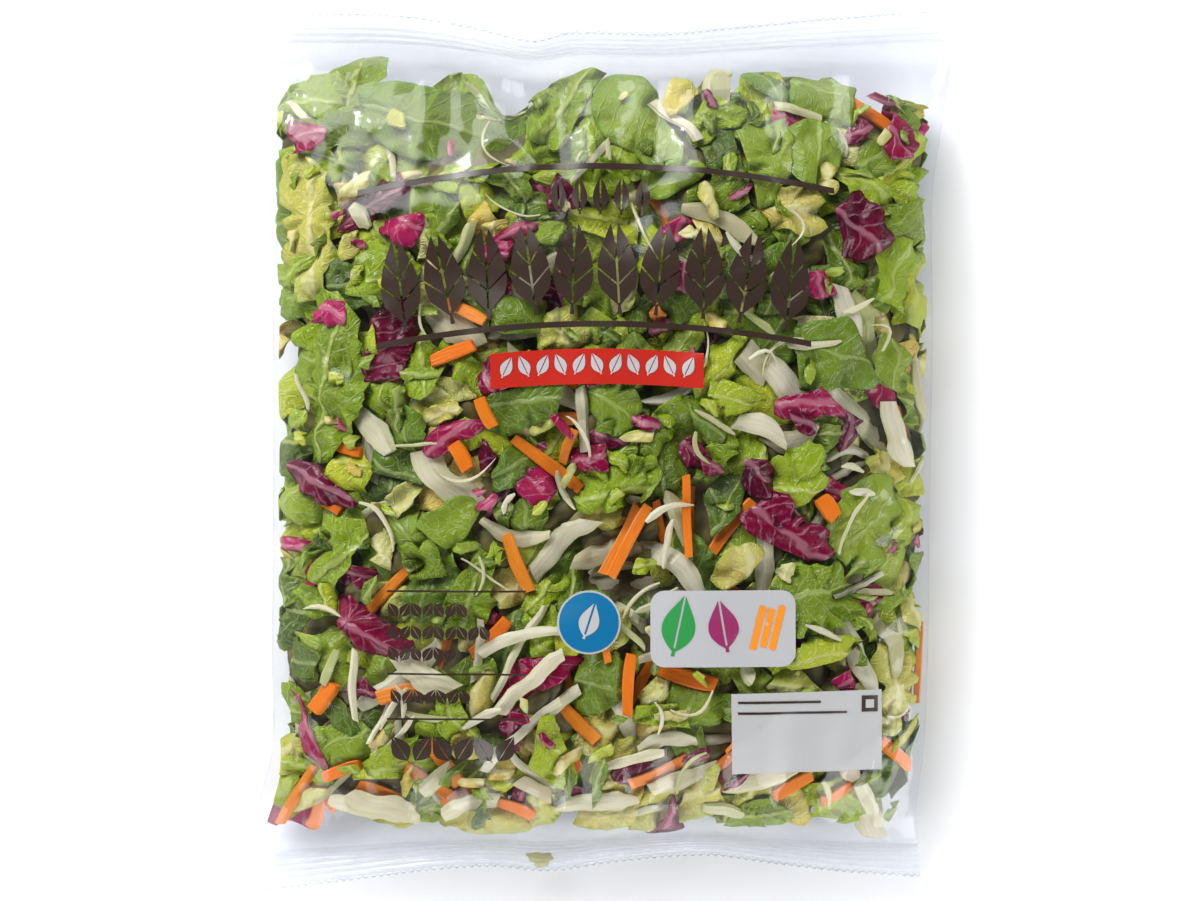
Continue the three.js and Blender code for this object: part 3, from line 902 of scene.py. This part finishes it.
# The clearest pieces lie on top and the others under them
for place in CARROT_PLACES[:12]:
    lay_carrot(*place)
for place in RIB_PLACES[:14]:
    lay_rib(*place)
red_places = [("radicchio", *place) for place in RADICCHIO_PLACES]
lay_leaves(red_places[:22], 1.6, 0.7)
lay_leaves(LEAF_PLACES[:24], 1.65, 0.8)
for place in RIB_PLACES[14:]:
    lay_rib(*place)
for place in CARROT_PLACES[12:]:
    lay_carrot(*place)
lay_leaves(red_places[22:], 1.6, 0.7)
lay_leaves(LEAF_PLACES[24:], 1.65, 0.9)

# Share of each kind in the rest of the pile, at its top end and at its bottom end, and the usual
# length and width of a piece of leaf
MIX = {
    "endive": (0.45, 0.2), "lettuce": (0.27, 0.1), "pale": (0.12, 0.28), "radicchio": (0.07, 0.06),
    "rib": (0.07, 0.25), "carrot": (0.02, 0.11),
}
SIZES = {"endive": (25, 16), "lettuce": (24, 15), "pale": (22, 13), "radicchio": (21, 10)}
TRIES = 7


def pour(count, low_around, high_around, spacing, dive, growth):
    """Drops pieces where the pile is still shallow, on a stretch of the tube and its mirror."""
    for _ in range(count):
        a = dice.uniform(low_around, high_around, TRIES) * dice.choice([-1, 1], TRIES)
        along = dice.uniform(CONTENT_BOTTOM + 5, CONTENT_TOP - 4, TRIES)
        best = np.argmin(read(pile, a, along))
        a, along = a[best], along[best]
        down = np.clip((CONTENT_TOP - along) / (CONTENT_TOP - CONTENT_BOTTOM), 0, 1)
        weights = np.array([top * (1 - down) + bottom * down for top, bottom in MIX.values()])
        kind = dice.choice(list(MIX), p=weights / weights.sum())
        turn, tint = dice.uniform(0, 180), dice.random()
        if kind in SIZES:
            length, width = np.array(SIZES[kind]) * dice.uniform(0.65, 1.4, 2) * growth
            lay_leaf(kind, a, along, length, width, turn, tint, spacing, dive)
            continue
        length = dice.uniform(16, 42) if kind == "rib" else dice.uniform(16, 34)
        reach = length / 2 * np.array(turned(turn))
        start, end = (a, along) - reach, (a, along) + reach
        if kind == "rib":
            width = dice.choice([2.8, 4.5, 8.0, 11.0])
            thick = SLIM_THICKNESS if width < SLIM else 3.0
            lay_strip("rib", start, end, width, thick, dice.uniform(-4, 4), tint, 0.5)
        else:
            width = dice.uniform(3.2, 4.8)
            lay_strip("carrot", start, end, width, CARROT_THICKNESS, dice.uniform(-1, 1), tint,
                      0.1, 3.5)


# Two layers under the front panel, the upper one finer, and one over the back
pour(300, 0, 138, 2.0, 1.0, 1.0)
pour(120, 0, 140, 2.9, 1.0, 1.3)
pour(170, 118, 255, 2.8, 0.8, 1.25)


def heap_mesh(name):
    """One mesh of all the pieces of a kind. Its map is in millimetres along and off the midrib,
    and the attribute piece holds the tint and how near the rim a point is."""
    points, tris, quads, where, tints, edges = zip(*heaps[name])
    sizes = [len(vertices) for vertices in points]
    first = np.cumsum([0] + sizes)
    count = int(first[-1])
    tris = np.concatenate([piece + begin for piece, begin in zip(tris, first)])
    quads = np.concatenate([piece + begin for piece, begin in zip(quads, first)])
    corners = np.concatenate([tris.ravel(), quads.ravel()])
    starts = np.concatenate([np.arange(len(tris)) * 3, tris.size + np.arange(len(quads)) * 4])
    mesh = bpy.data.meshes.new(name)
    mesh.vertices.add(count)
    mesh.vertices.foreach_set("co", (np.concatenate(points) * 0.001).ravel())
    mesh.loops.add(len(corners))
    mesh.loops.foreach_set("vertex_index", corners.astype(np.int32))
    mesh.polygons.add(len(starts))
    mesh.polygons.foreach_set("loop_start", starts.astype(np.int32))
    mesh.polygons.foreach_set("use_smooth", np.ones(len(starts), bool))
    mesh.update(calc_edges=True)
    if name in ("rib", "carrot"):
        mesh.set_sharp_from_angle(angle=math.radians(16))
    uv = mesh.uv_layers.new(name="leaf_map")
    uv.data.foreach_set("uv", np.concatenate(where)[corners].ravel())
    edges = np.concatenate(edges)
    values = np.stack([np.repeat(tints, sizes), edges, np.zeros(count), np.ones(count)], 1)
    mesh.attributes.new("piece", "FLOAT_COLOR", "POINT").data.foreach_set("color", values.ravel())
    return mesh


def flesh_look(tree, colour, bump, roughness, glow):
    """Wet plant flesh: a soft sheen, and a share of light that comes through from behind."""
    body = add(tree, "BsdfPrincipled", {
        "Base Color": colour, "Roughness": roughness, "IOR": 1.4, "Normal": bump,
    })
    through_light = add(tree, "BsdfTranslucent", {"Color": colour, "Normal": bump})
    look = add(tree, "MixShader", {0: glow, 1: body, 2: through_light})
    add(tree, "OutputMaterial", {"Surface": look})


# Patterns per metre: the drift that bends the veins (11 mm), colour patches (14 mm), worn spots
# (5 mm) and the grain of the skin (1 mm). Side veins stand 7 mm apart, as SIDE_VEINS per mm.
VEIN_DRIFT = 90
PATCHES = 70
WORN_SPOTS = 190
SKIN_GRAIN = 900
SIDE_VEINS = 0.14


def leaf_material(name, tints, vein, rim, patch, rib_width, vein_strength, net_size, glow,
                  net_strength=0.45, roughness=0.4, mottles=0.15, puff=0.0009):
    """A cut leaf blade: tints by piece, a pale midrib with side veins and a fine net between
    them, blistered between the veins, with a soft sheen and some light let through."""
    material, tree = new_material(name)
    place = add(tree, "TexCoord", give="Object")
    flat_map = add(tree, "UVMap", uv_map="leaf_map")
    of_piece = add(tree, "Attribute", attribute_name="piece")
    tint, edge = add(tree, "SeparateColor", {"Color": of_piece}).node.outputs[:2]
    drift = add(tree, "TexNoise", {"Vector": place, "Scale": VEIN_DRIFT, "Detail": 2}, "Color")
    centred = add(tree, "VectorMath", {0: drift, 1: (0.5, 0.5, 0.5)}, operation="SUBTRACT")
    bent = add(tree, "VectorMath", {0: centred, 1: (6, 6, 0), 2: flat_map}, operation="MULTIPLY_ADD")
    lengthwise, sideways = add(tree, "SeparateXYZ", {0: bent}).node.outputs[:2]
    off_rib = add(tree, "Math", {0: sideways}, operation="ABSOLUTE")
    midrib = add(tree, "MapRange", {0: off_rib, 1: rib_width * 0.25, 2: rib_width, 3: 1, 4: 0},
                 interpolation_type="SMOOTHSTEP")
    slant = add(tree, "Math", {0: off_rib, 1: -0.8, 2: lengthwise}, operation="MULTIPLY_ADD")
    spaced = add(tree, "Math", {0: slant, 1: SIDE_VEINS}, operation="MULTIPLY")
    in_space = add(tree, "Math", {0: spaced, 1: 0.5}, operation="PINGPONG")
    side_veins = add(tree, "MapRange", {0: in_space, 1: 0.01, 2: 0.08, 3: 0.55, 4: 0},
                     interpolation_type="SMOOTHSTEP")
    cells = {"Vector": bent, "Scale": 1 / net_size}
    net = add(tree, "TexVoronoi", cells, feature="DISTANCE_TO_EDGE", voronoi_dimensions="2D")
    net_lines = add(tree, "MapRange", {0: net, 1: 0.01, 2: 0.11, 3: net_strength, 4: 0})
    veins = add(tree, "Math", {0: side_veins, 1: net_lines}, operation="MAXIMUM")
    veins = add(tree, "Math", {0: veins, 1: midrib}, operation="MAXIMUM")
    marked = add(tree, "Math", {0: veins, 1: vein_strength}, operation="MULTIPLY")

    mottle = add(tree, "TexNoise", {"Vector": place, "Scale": PATCHES, "Detail": 3, "Roughness": 0.6})
    patches = add(tree, "MapRange", {0: mottle, 1: 0.48, 2: 0.72, 3: 0, 4: 0.55})
    worn = add(tree, "TexNoise", {"Vector": place, "Scale": WORN_SPOTS, "Detail": 3, "Roughness": 0.7})
    worn = add(tree, "MapRange", {0: worn, 1: 0.56, 2: 0.74, 3: 0, 4: mottles})
    at_rim = add(tree, "Math", {0: edge, 1: 4.0}, operation="POWER")
    at_rim = add(tree, "Math", {0: at_rim, 1: 0.55}, operation="MULTIPLY")
    blade = add(tree, "ValToRGB", {"Fac": tint}, stops=tints)
    for share, colour in ((patches, patch), (worn, vein), (at_rim, rim), (marked, vein)):
        blade = add(tree, "Mix", {0: share, 6: blade, 7: paint(colour)}, 2, data_type="RGBA")

    puffed = add(tree, "TexVoronoi", cells, feature="SMOOTH_F1", voronoi_dimensions="2D")
    fine = add(tree, "TexNoise", {"Vector": place, "Scale": SKIN_GRAIN, "Detail": 1})
    height = add(tree, "Math", {0: puffed, 1: -1.0, 2: veins}, operation="MULTIPLY_ADD")
    height = add(tree, "Math", {0: fine, 1: 0.25, 2: height}, operation="MULTIPLY_ADD")
    bump = add(tree, "Bump", {"Height": height, "Strength": 0.55, "Distance": puff})
    flesh_look(tree, blade, bump, roughness, glow)
    return material


# Curly endive, cut into ragged pieces 15 to 50 mm long. Its blade is thin, blistered and deeply
# ruffled at the rim, mid to dark green with a pale midrib.
endive_green = leaf_material(
    "curly_endive_leaf",
    [(0.0, "#3C5304"), (0.3, "#627B08"), (0.65, "#91A80E"), (1.0, "#C4C82A")],
    vein="#D2D884", rim="#8EAE18", patch="#A2BC2A", rib_width=1.3, vein_strength=0.42, net_size=2.2,
    glow=0.2, net_strength=0.26, roughness=0.27, mottles=0.2, puff=0.0014,
)
shown("endive_leaves", heap_mesh("endive"), endive_green)

# Lettuce with a smooth, flat blade, in the widest and most even pieces of the bag
lettuce_green = leaf_material(
    "smooth_lettuce_leaf",
    [(0.0, "#3C500A"), (0.3, "#5F7716"), (0.65, "#879B22"), (1.0, "#ACB63A")],
    vein="#BECC7C", rim="#6E9422", patch="#84A234", rib_width=1.1, vein_strength=0.36, net_size=2.8,
    glow=0.18, net_strength=0.26, roughness=0.31,
)
shown("lettuce_leaves", heap_mesh("lettuce"), lettuce_green)

# Heart leaves of endive and Chinese cabbage: yellow to pale green, thicker and full of water
pale_blade = leaf_material(
    "pale_heart_leaf",
    [(0.0, "#DEBC4C"), (0.35, "#D8C65A"), (0.7, "#C4C64A"), (1.0, "#E0D894")],
    vein="#E8E2B0", rim="#A0B82E", patch="#DCD688", rib_width=2.4, vein_strength=0.5, net_size=2.6,
    glow=0.26, puff=0.0013,
)
shown("pale_leaves", heap_mesh("pale"), pale_blade)

# A shred of leaf was caught between the jaws of the bottom seal and lies crushed between the films
SCRAP_ACROSS, SCRAP_ALONG = -0.135, -155.2
SCRAP_HALF_WIDTH, SCRAP_HALF_LENGTH = 0.038, 3.4
scrap_bm = bmesh.new()
bmesh.ops.create_circle(scrap_bm, cap_ends=True, cap_tris=True, segments=40, radius=1)
bmesh.ops.subdivide_edges(scrap_bm, edges=scrap_bm.edges[:], cuts=4, use_grid_fill=True)
scrap = np.array([v.co for v in scrap_bm.verts])
bearing = np.arctan2(scrap[:, 1], scrap[:, 0])
ragged_reach = 1 + 0.14 * np.sin(3 * bearing) + 0.1 * np.sin(7 * bearing + 2)
scrap_across = SCRAP_ACROSS + SCRAP_HALF_WIDTH * scrap[:, 0] * ragged_reach
scrap_along = SCRAP_ALONG + SCRAP_HALF_LENGTH * scrap[:, 1] * ragged_reach
in_front = film_point(scrap_across, scrap_along, np.ones(len(scrap)))
behind = film_point(scrap_across, scrap_along, -np.ones(len(scrap)))
for vertex, place in zip(scrap_bm.verts, (in_front + behind) / 2):
    vertex.co = place
bmesh.ops.solidify(scrap_bm, geom=scrap_bm.faces[:], thickness=0.3)
bmesh.ops.recalc_face_normals(scrap_bm, faces=scrap_bm.faces)
scrap_mesh = as_mesh(scrap_bm, "seal_scrap", smooth=False)
scrap_tint = np.tile([0.78, 0.2, 0.0, 1.0], len(scrap_mesh.vertices))
scrap_mesh.attributes.new("piece", "FLOAT_COLOR", "POINT").data.foreach_set("color", scrap_tint)
shown("seal_scrap", scrap_mesh, pale_blade)

# Radicchio: crisp wine-red blades with a white midrib and branching pale veins
radicchio_red = leaf_material(
    "radicchio_leaf",
    [(0.0, "#36041A"), (0.35, "#620228"), (0.7, "#8C0438"), (1.0, "#B0265A")],
    vein="#D894A2", rim="#6A0428", patch="#980A40", rib_width=1.5, vein_strength=0.4, net_size=4.5,
    glow=0.12, net_strength=0.05, roughness=0.24, mottles=0.2,
)
shown("radicchio_leaves", heap_mesh("radicchio"), radicchio_red)


# Clouds of light and dark on cut flesh per metre, so 17 mm apart
FLESH_CLOUDS = 60


def strip_material(name, tints, rim, streak, streak_size, glow, roughness):
    """Cut root or rib: tints by piece, with fine streaks that run along it and clouded sides."""
    material, tree = new_material(name)
    flat_map = add(tree, "UVMap", uv_map="leaf_map")
    place = add(tree, "TexCoord", give="Object")
    of_piece = add(tree, "Attribute", attribute_name="piece")
    tint, edge = add(tree, "SeparateColor", {"Color": of_piece}).node.outputs[:2]
    drawn_out = add(tree, "VectorMath", {0: flat_map, 1: (0.12, 1.0, 1.0)}, operation="MULTIPLY")
    grain = add(tree, "TexNoise", {"Vector": drawn_out, "Scale": 1 / streak_size, "Detail": 4})
    lines = add(tree, "MapRange", {0: grain, 1: 0.42, 2: 0.68, 3: 0, 4: 0.45})
    cloud = add(tree, "TexNoise", {"Vector": place, "Scale": FLESH_CLOUDS, "Detail": 3})
    side = add(tree, "Math", {0: edge, 1: 3.0}, operation="POWER")
    side = add(tree, "Math", {0: side, 1: cloud}, operation="MULTIPLY")
    flesh = add(tree, "ValToRGB", {"Fac": tint}, stops=tints)
    for share, colour in ((lines, streak), (side, rim)):
        flesh = add(tree, "Mix", {0: share, 6: flesh, 7: paint(colour)}, 2, data_type="RGBA")
    bump = add(tree, "Bump", {"Height": grain, "Strength": 0.5, "Distance": 0.0006})
    flesh_look(tree, flesh, bump, roughness, glow)
    return material


# Ribs of Chinese cabbage and endive, sliced into crisp white wedges and thin shreds
rib_flesh = strip_material(
    "white_cabbage_rib",
    [(0.0, "#E8DEBA"), (0.4, "#F2ECD6"), (0.75, "#DEDCB0"), (0.9, "#C6CE84"), (1.0, "#E6CCC0")],
    rim="#CED29A", streak="#CCC49A", streak_size=1.3, glow=0.36, roughness=0.24,
)
shown("cabbage_ribs", heap_mesh("rib"), rib_flesh)

# Carrot cut into square sticks, 3 to 6 mm wide and about 3 mm thick
carrot_flesh = strip_material(
    "carrot_root",
    [(0.0, "#EA6C06"), (0.5, "#EA780E"), (1.0, "#E68C26")],
    rim="#EC8C28", streak="#DC5E04", streak_size=0.8, glow=0.12, roughness=0.38,
)
shown("carrot_sticks", heap_mesh("carrot"), carrot_flesh)


# The middle of the pile, which is only seen in the gaps between the pieces and is painted a dark warm
# olive as shade. It stays CORE_GAP under the deepest of them and ends short of the seals.
CORE_GAP = 6.0
CORE_HALF_LENGTH, CORE_MIDDLE = 122, -2
CORE_LUMPS, CORE_ROUNDING = 1.6, 9


def core_mesh():
    """A drum of many small faces, pressed to the form of the pile's inside."""
    columns, rows = 128, 84
    bm = bmesh.new()
    bmesh.ops.create_cone(bm, cap_ends=True, segments=columns, radius1=1, radius2=1, depth=2)
    cuts = [e for e in bm.edges if abs(e.verts[0].co.z - e.verts[1].co.z) > 1]
    bmesh.ops.subdivide_edges(bm, edges=cuts, cuts=rows, use_grid_fill=True)
    places = np.array([v.co for v in bm.verts])
    around = np.arctan2(places[:, 0], places[:, 1]) / np.pi * GIRTH / 2
    along = places[:, 2] * CORE_HALF_LENGTH + CORE_MIDDLE
    lumpy = soft_noise(around, along, 11, 51) + soft_noise(around + 300, along, 25, 52)
    ended = ease((np.abs(places[:, 2]) - 0.9) / 0.1)
    form = CORE_GAP + CORE_LUMPS * lumpy + CORE_ROUNDING * ended
    depth = read(pile, around, along) * 0.6 + form
    for vertex, place in zip(bm.verts, inside(around, along, depth)):
        vertex.co = place
    bmesh.ops.recalc_face_normals(bm, faces=bm.faces)
    return as_mesh(bm, "pile_core")


core_look, core_tree = new_material("leaf_in_shade")
core_place = add(core_tree, "TexCoord", give="Object")
core_noise = add(core_tree, "TexNoise", {"Vector": core_place, "Scale": 120, "Detail": 5})
# Painted shade: dark warm olive and brown for the depths of the pile
core_shade_stops = [(0.35, "#3C340E"), (0.55, "#5A521A"), (0.7, "#767028")]
core_shade_colour = add(core_tree, "ValToRGB", {"Fac": core_noise}, stops=core_shade_stops)
core_surface = add(core_tree, "BsdfPrincipled", {"Base Color": core_shade_colour, "Roughness": 0.6})
add(core_tree, "OutputMaterial", {"Surface": core_surface})
shown("pile_core", core_mesh(), core_look)


# The print is gravure ink on the front panel: dark brown arches and rows of leaf shapes where a
# pack has its title, a red banner, a blue roundel, a white plate and a pale field for a date.
# One ink over another stands INK_LAYER higher, and shapes follow the film every FOLLOW_STEP.
INK_LIFT = 0.2
INK_LAYER = 0.14
INK_THICKNESS = 0.08
ARCH_RADIUS = 400.0
FOLLOW_STEP = 2.4


def front_height(x, y):
    """Height of the printed part of the front panel."""
    along = y + BOX_CENTRE_Y
    middle, half = on_flat_bag(0, along)
    across = (x - middle) / half
    return film_point(across, along, np.ones_like(across))[..., 2] + crinkle(across, along, 1)


def arch(x, y):
    """Bends a straight line of print into the arch of the design."""
    return x, y - x * x / (2 * ARCH_RADIUS)


def placed(outline, x, y, turn):
    """An outline that is drawn about zero, turned and moved to x, y."""
    c, s = turned(turn)
    return [(x + c * u - s * v, y + s * u + c * v) for u, v in outline]


def print_shape(bm, outline, lift):
    """Adds one shape of ink, given by its outline, that follows the film."""
    made = bmesh.new()
    made.faces.new([made.verts.new((x, y, 0)) for x, y in outline])
    bmesh.ops.triangulate(made, faces=made.faces)
    xs, ys = [p[0] for p in outline], [p[1] for p in outline]
    for axis, low, high in ((0, min(xs), max(xs)), (1, min(ys), max(ys))):
        normal = Vector((1, 0, 0)) if axis == 0 else Vector((0, 1, 0))
        for cut in np.arange(math.ceil(low / FOLLOW_STEP) * FOLLOW_STEP, high, FOLLOW_STEP):
            bmesh.ops.bisect_plane(
                made, geom=made.verts[:] + made.edges[:] + made.faces[:], dist=1e-4,
                plane_co=normal * float(cut), plane_no=normal,
            )
    flat_xy = np.array([v.co.xy for v in made.verts])
    heights = front_height(flat_xy[:, 0], flat_xy[:, 1])
    for vertex, height in zip(made.verts, heights):
        vertex.co.z = height + lift
    bmesh.ops.recalc_face_normals(made, faces=made.faces)
    bmesh.ops.solidify(made, geom=made.faces[:], thickness=INK_THICKNESS)
    bmesh.ops.recalc_face_normals(made, faces=made.faces)
    mesh = bpy.data.meshes.new("shape")
    made.to_mesh(mesh)
    made.free()
    bm.from_mesh(mesh)
    bpy.data.meshes.remove(mesh)


def arched_bar(left, right, middle_y, thick):
    """A bar of print that follows the arch."""
    xs = np.linspace(left, right, 40)
    upper = [arch(x, middle_y + thick / 2) for x in xs]
    lower = [arch(x, middle_y - thick / 2) for x in xs[::-1]]
    return upper + lower


def box_outline(left, bottom, right, top, corner=0.0, turn=0.0):
    """Rectangle with rounded corners, turned about its middle."""
    half_x, half_y = (right - left) / 2, (top - bottom) / 2
    points = []
    for sign_x, sign_y, start in ((1, 1, 0), (-1, 1, 90), (-1, -1, 180), (1, -1, 270)):
        corner_x, corner_y = sign_x * (half_x - corner), sign_y * (half_y - corner)
        for step in range(6 if corner else 1):
            c, s = turned(start + step * 18)
            points.append((corner_x + corner * c, corner_y + corner * s))
    return placed(points, (left + right) / 2, (bottom + top) / 2, turn)


def leaf_glyph(x, y, height, width, turn, gap):
    """A leaf shape in two halves with a stalk, its middle at x, y."""
    tip, base = 0.58 * height, -0.42 * height
    steps = np.linspace(0, 1, 15)
    swell = gap / 2 + width / 2 * np.sin(np.pi * steps**0.8) ** 1.15
    outlines = []
    for side in (-1, 1):
        outer = [(side * w, base + height * t) for t, w in zip(steps, swell)]
        outlines.append(outer[:-1] + [(side * gap / 2, tip), (side * gap / 2, base)])
    stalk, foot, stalk_top = 0.8 * gap, -0.5 * height, -0.36 * height
    upper = [(0.6 * stalk, stalk_top), (-0.6 * stalk, stalk_top)]
    outlines.append([(-stalk, foot), (stalk, foot)] + upper)
    return [placed(line, x, y, turn) for line in outlines]


def paned_leaf(x, y, height, width, turn, gap):
    """A pointed leaf drawn as slanted panes on both sides of a bare midrib."""
    panes, slope = 3, 0.2
    outlines = []
    for side in (-1, 1):
        for i in range(panes):
            low, high = i / panes, (i + 1) / panes - 0.03
            inner = [(gap / 2, t - slope * t) for t in (high, low)]
            outer_t = np.linspace(low, high, 5)
            outer_t = outer_t + slope * (1 - outer_t)
            reach = np.sin(np.pi * np.clip(outer_t, 0, 1) ** 0.72) ** 0.9
            outer = [(gap / 2 + 0.3 + (width - gap) / 2 * r, t) for r, t in zip(reach, outer_t)]
            outlines.append([(side * u, height * (v - 0.45)) for u, v in inner + outer])
    foot, stalk_top = -0.55 * height, -0.42 * height
    outlines.append([(-gap, foot), (gap, foot), (gap / 2, stalk_top), (-gap / 2, stalk_top)])
    return [placed(line, x, y, turn) for line in outlines]


def ink_material(name, code, roughness=0.3):
    """Printing ink under the gloss of the film, with a fine grain."""
    material, tree = new_material(name)
    place = add(tree, "TexCoord", give="Object")
    grain = add(tree, "TexNoise", {"Vector": place, "Scale": 1400, "Detail": 2})
    bump = add(tree, "Bump", {"Height": grain, "Strength": 0.08, "Distance": 0.0002})
    ink = add(tree, "BsdfPrincipled", {
        "Base Color": paint(code), "Roughness": roughness, "IOR": 1.5, "Normal": bump,
    })
    add(tree, "OutputMaterial", {"Surface": ink})
    return material


def print_piece(name, outlines, material, layer=0):
    """Prints shapes of one ink as one piece."""
    bm = bmesh.new()
    for outline in outlines:
        print_shape(bm, outline, INK_LIFT + layer * INK_LAYER)
    mesh = as_mesh(bm, name)
    mesh.set_sharp_from_angle(angle=math.radians(50))
    shown(name, mesh, material)


# Lines of small leaves where the text is, as (y, left, count, size), and the rules between them
TEXT_LINES = [
    (-56.5, -75, 7, 5.8), (-64.5, -75, 9, 5.8), (-72.0, -75, 6, 5.8), (-87.0, -74, 7, 5.8),
    (-106.0, -74, 6, 10.5),
]
RULE_LINES = (-49.6, -78.8, -94.7)
title_outlines = [arched_bar(-86, 83, 100.5, 2.1), arched_bar(-79, 74.5, 44.5, 2.1)]
for i in range(10):
    x, y = arch(-70.5 + i * 15.3, 64.5)
    lean = (4.2 if i % 2 else -3.0) - math.degrees(x / ARCH_RADIUS)
    title_outlines += paned_leaf(x, y, 30, 13.4, lean, 0.8)
for i in range(5):
    x, y = arch(-14.6 + i * 7.4, 89.5)
    title_outlines += leaf_glyph(x, y, 12.5, 4.8, -math.degrees(x / ARCH_RADIUS), 0.6)
for y, left, count, size in TEXT_LINES:
    for i in range(count):
        x, lean = left + size * 0.7 * (i + 0.5), -32 if i % 2 else 32
        title_outlines += leaf_glyph(x, y, size, size * 0.62, lean, 0.2)
for y in RULE_LINES:
    title_outlines.append(box_outline(-75.2, y - 0.35, -26.0, y + 0.35))
dark_ink = ink_material("dark_brown_ink", "#33261F")
print_piece("dark_print", title_outlines, dark_ink)

red_ink = ink_material("red_ink", "#B0251A")
print_piece("red_banner", [arched_bar(-38.5, 36.5, 29.6, 12.4)], red_ink)
white_ink = ink_material("white_ink", "#AEAEB0")
banner_leaves = []
for i in range(11):
    x, y = arch(-33 + i * 6.4, 30.2)
    banner_leaves += leaf_glyph(x, y, 7.4, 3.8, 25 if i % 2 else -25, 0.35)
print_piece("banner_leaves", banner_leaves, white_ink, 1)


def disc(x, y, radius):
    """A round field of print."""
    angles = np.linspace(0, 2 * np.pi, 49)[:-1]
    return [(x + radius * math.cos(a), y + radius * math.sin(a)) for a in angles]


ROUNDEL = (-3.9, -60.4)
blue_ink = ink_material("blue_ink", "#0D6694")
print_piece("roundel_edge", [disc(*ROUNDEL, 11.2)], white_ink)
print_piece("roundel", [disc(*ROUNDEL, 10.5)], blue_ink, 1)
print_piece("roundel_leaf", leaf_glyph(*ROUNDEL, 12, 6.5, -18, 0.7), white_ink, 2)

PLATE = (17.7, -76.2, 69.0, -49.2)
print_piece("white_plate", [box_outline(*PLATE, 5.0)], white_ink)
green_ink = ink_material("green_ink", "#2E8B45")
print_piece("plate_leaf", leaf_glyph(27.5, -62.5, 20, 11, -12, 0.8), green_ink, 1)
violet_ink = ink_material("violet_ink", "#8C2A5B")
print_piece("plate_red_leaf", leaf_glyph(43.5, -62.5, 17, 10, 10, 0.8), violet_ink, 1)
orange_ink = ink_material("orange_ink", "#EE8A22")
sticks = []
for i in range(3):
    left = 54.5 + i * 3.4
    sticks.append(box_outline(left, -70.5 + i % 2, left + 2.4, -54.5 - i % 2, 0.6, -14))
print_piece("plate_sticks", sticks, orange_ink, 1)

DATE_FIELD = (46.4, -114.0, 100.2, -85.2)
grey_ink = ink_material("pale_grey_ink", "#A9A9A9", 0.5)
print_piece("date_field", [box_outline(*DATE_FIELD, turn=1.0)], grey_ink)
date_marks = [
    box_outline(48.6, -89.2, 78, -88.4), box_outline(48.6, -93.0, 87.5, -92.2),
    box_outline(92.8, -92.6, 98.6, -86.8),
]
print_piece("date_marks", date_marks, dark_ink, 1)
print_piece("date_square", [box_outline(94.2, -91.2, 97.2, -88.2)], grey_ink, 2)


# A plain white table in a studio. A large soft light and a small one beside it stand behind the
# upper left corner of the bag, and soft fills at its lower right and lower left. The surround is
# pale at table height and dark overhead, so the film doesn't turn milky from above.
floor_bm = bmesh.new()
bmesh.ops.create_grid(floor_bm, x_segments=1, y_segments=1, size=3000)
floor_mesh = as_mesh(floor_bm, "table_top")
floor = bpy.data.objects.new("table_top", floor_mesh)
bpy.context.scene.collection.objects.link(floor)
floor_look, floor_tree = new_material("white_table")
floor_surface = add(floor_tree, "BsdfDiffuse", {"Color": paint("#F8F8F9")})
add(floor_tree, "OutputMaterial", {"Surface": floor_surface})
floor_mesh.materials.append(floor_look)


def soft_light(name, place, size, power):
    """A rectangular light that faces the bag, with its place and size in metres."""
    light = bpy.data.lights.new(name, "AREA")
    light.shape = "RECTANGLE"
    light.size, light.size_y = size
    light.energy = power
    lamp = bpy.data.objects.new(name, light)
    lamp.location = place
    lamp.rotation_euler = (-Vector(place)).to_track_quat("-Z", "Y").to_euler()
    bpy.context.scene.collection.objects.link(lamp)


soft_light("key_light", (-0.65, 1.2, 0.95), (1.6, 1.0), 39)
soft_light("key_lamp", (-0.75, 1.05, 0.88), (0.14, 0.14), 4.0)
soft_light("fill_light", (1.25, -1.1, 0.64), (1.9, 0.8), 33)
soft_light("low_light", (-1.2, -1.15, 0.6), (1.6, 0.8), 18)
world = bpy.data.worlds.new("studio")
bpy.context.scene.world = world
world.use_nodes = True
sky = world.node_tree
sky_way = add(sky, "TexCoord", give="Generated")
upward = add(sky, "SeparateXYZ", {0: sky_way}, "Z")
SKY = [(0.0, "#FAFBFD"), (0.22, "#D6D9DD"), (0.5, "#85888D"), (0.8, "#383A40"), (1.0, "#26282C")]
pale = add(sky, "ValToRGB", {"Fac": upward}, stops=SKY)
surround = sky.nodes["Background"]
surround.inputs["Strength"].default_value = 1.05
sky.links.new(pale, surround.inputs["Color"])

# The camera looks straight down on the middle of the panel, from far enough to keep it flat
camera_data = bpy.data.cameras.new("camera")
camera_data.lens = 107.2
camera_data.sensor_width = 36
camera = bpy.data.objects.new("camera", camera_data)
camera.location = (0, 0, 1.3)
bpy.context.scene.collection.objects.link(camera)
bpy.context.scene.camera = camera
bpy.context.scene.view_settings.view_transform = "Standard"
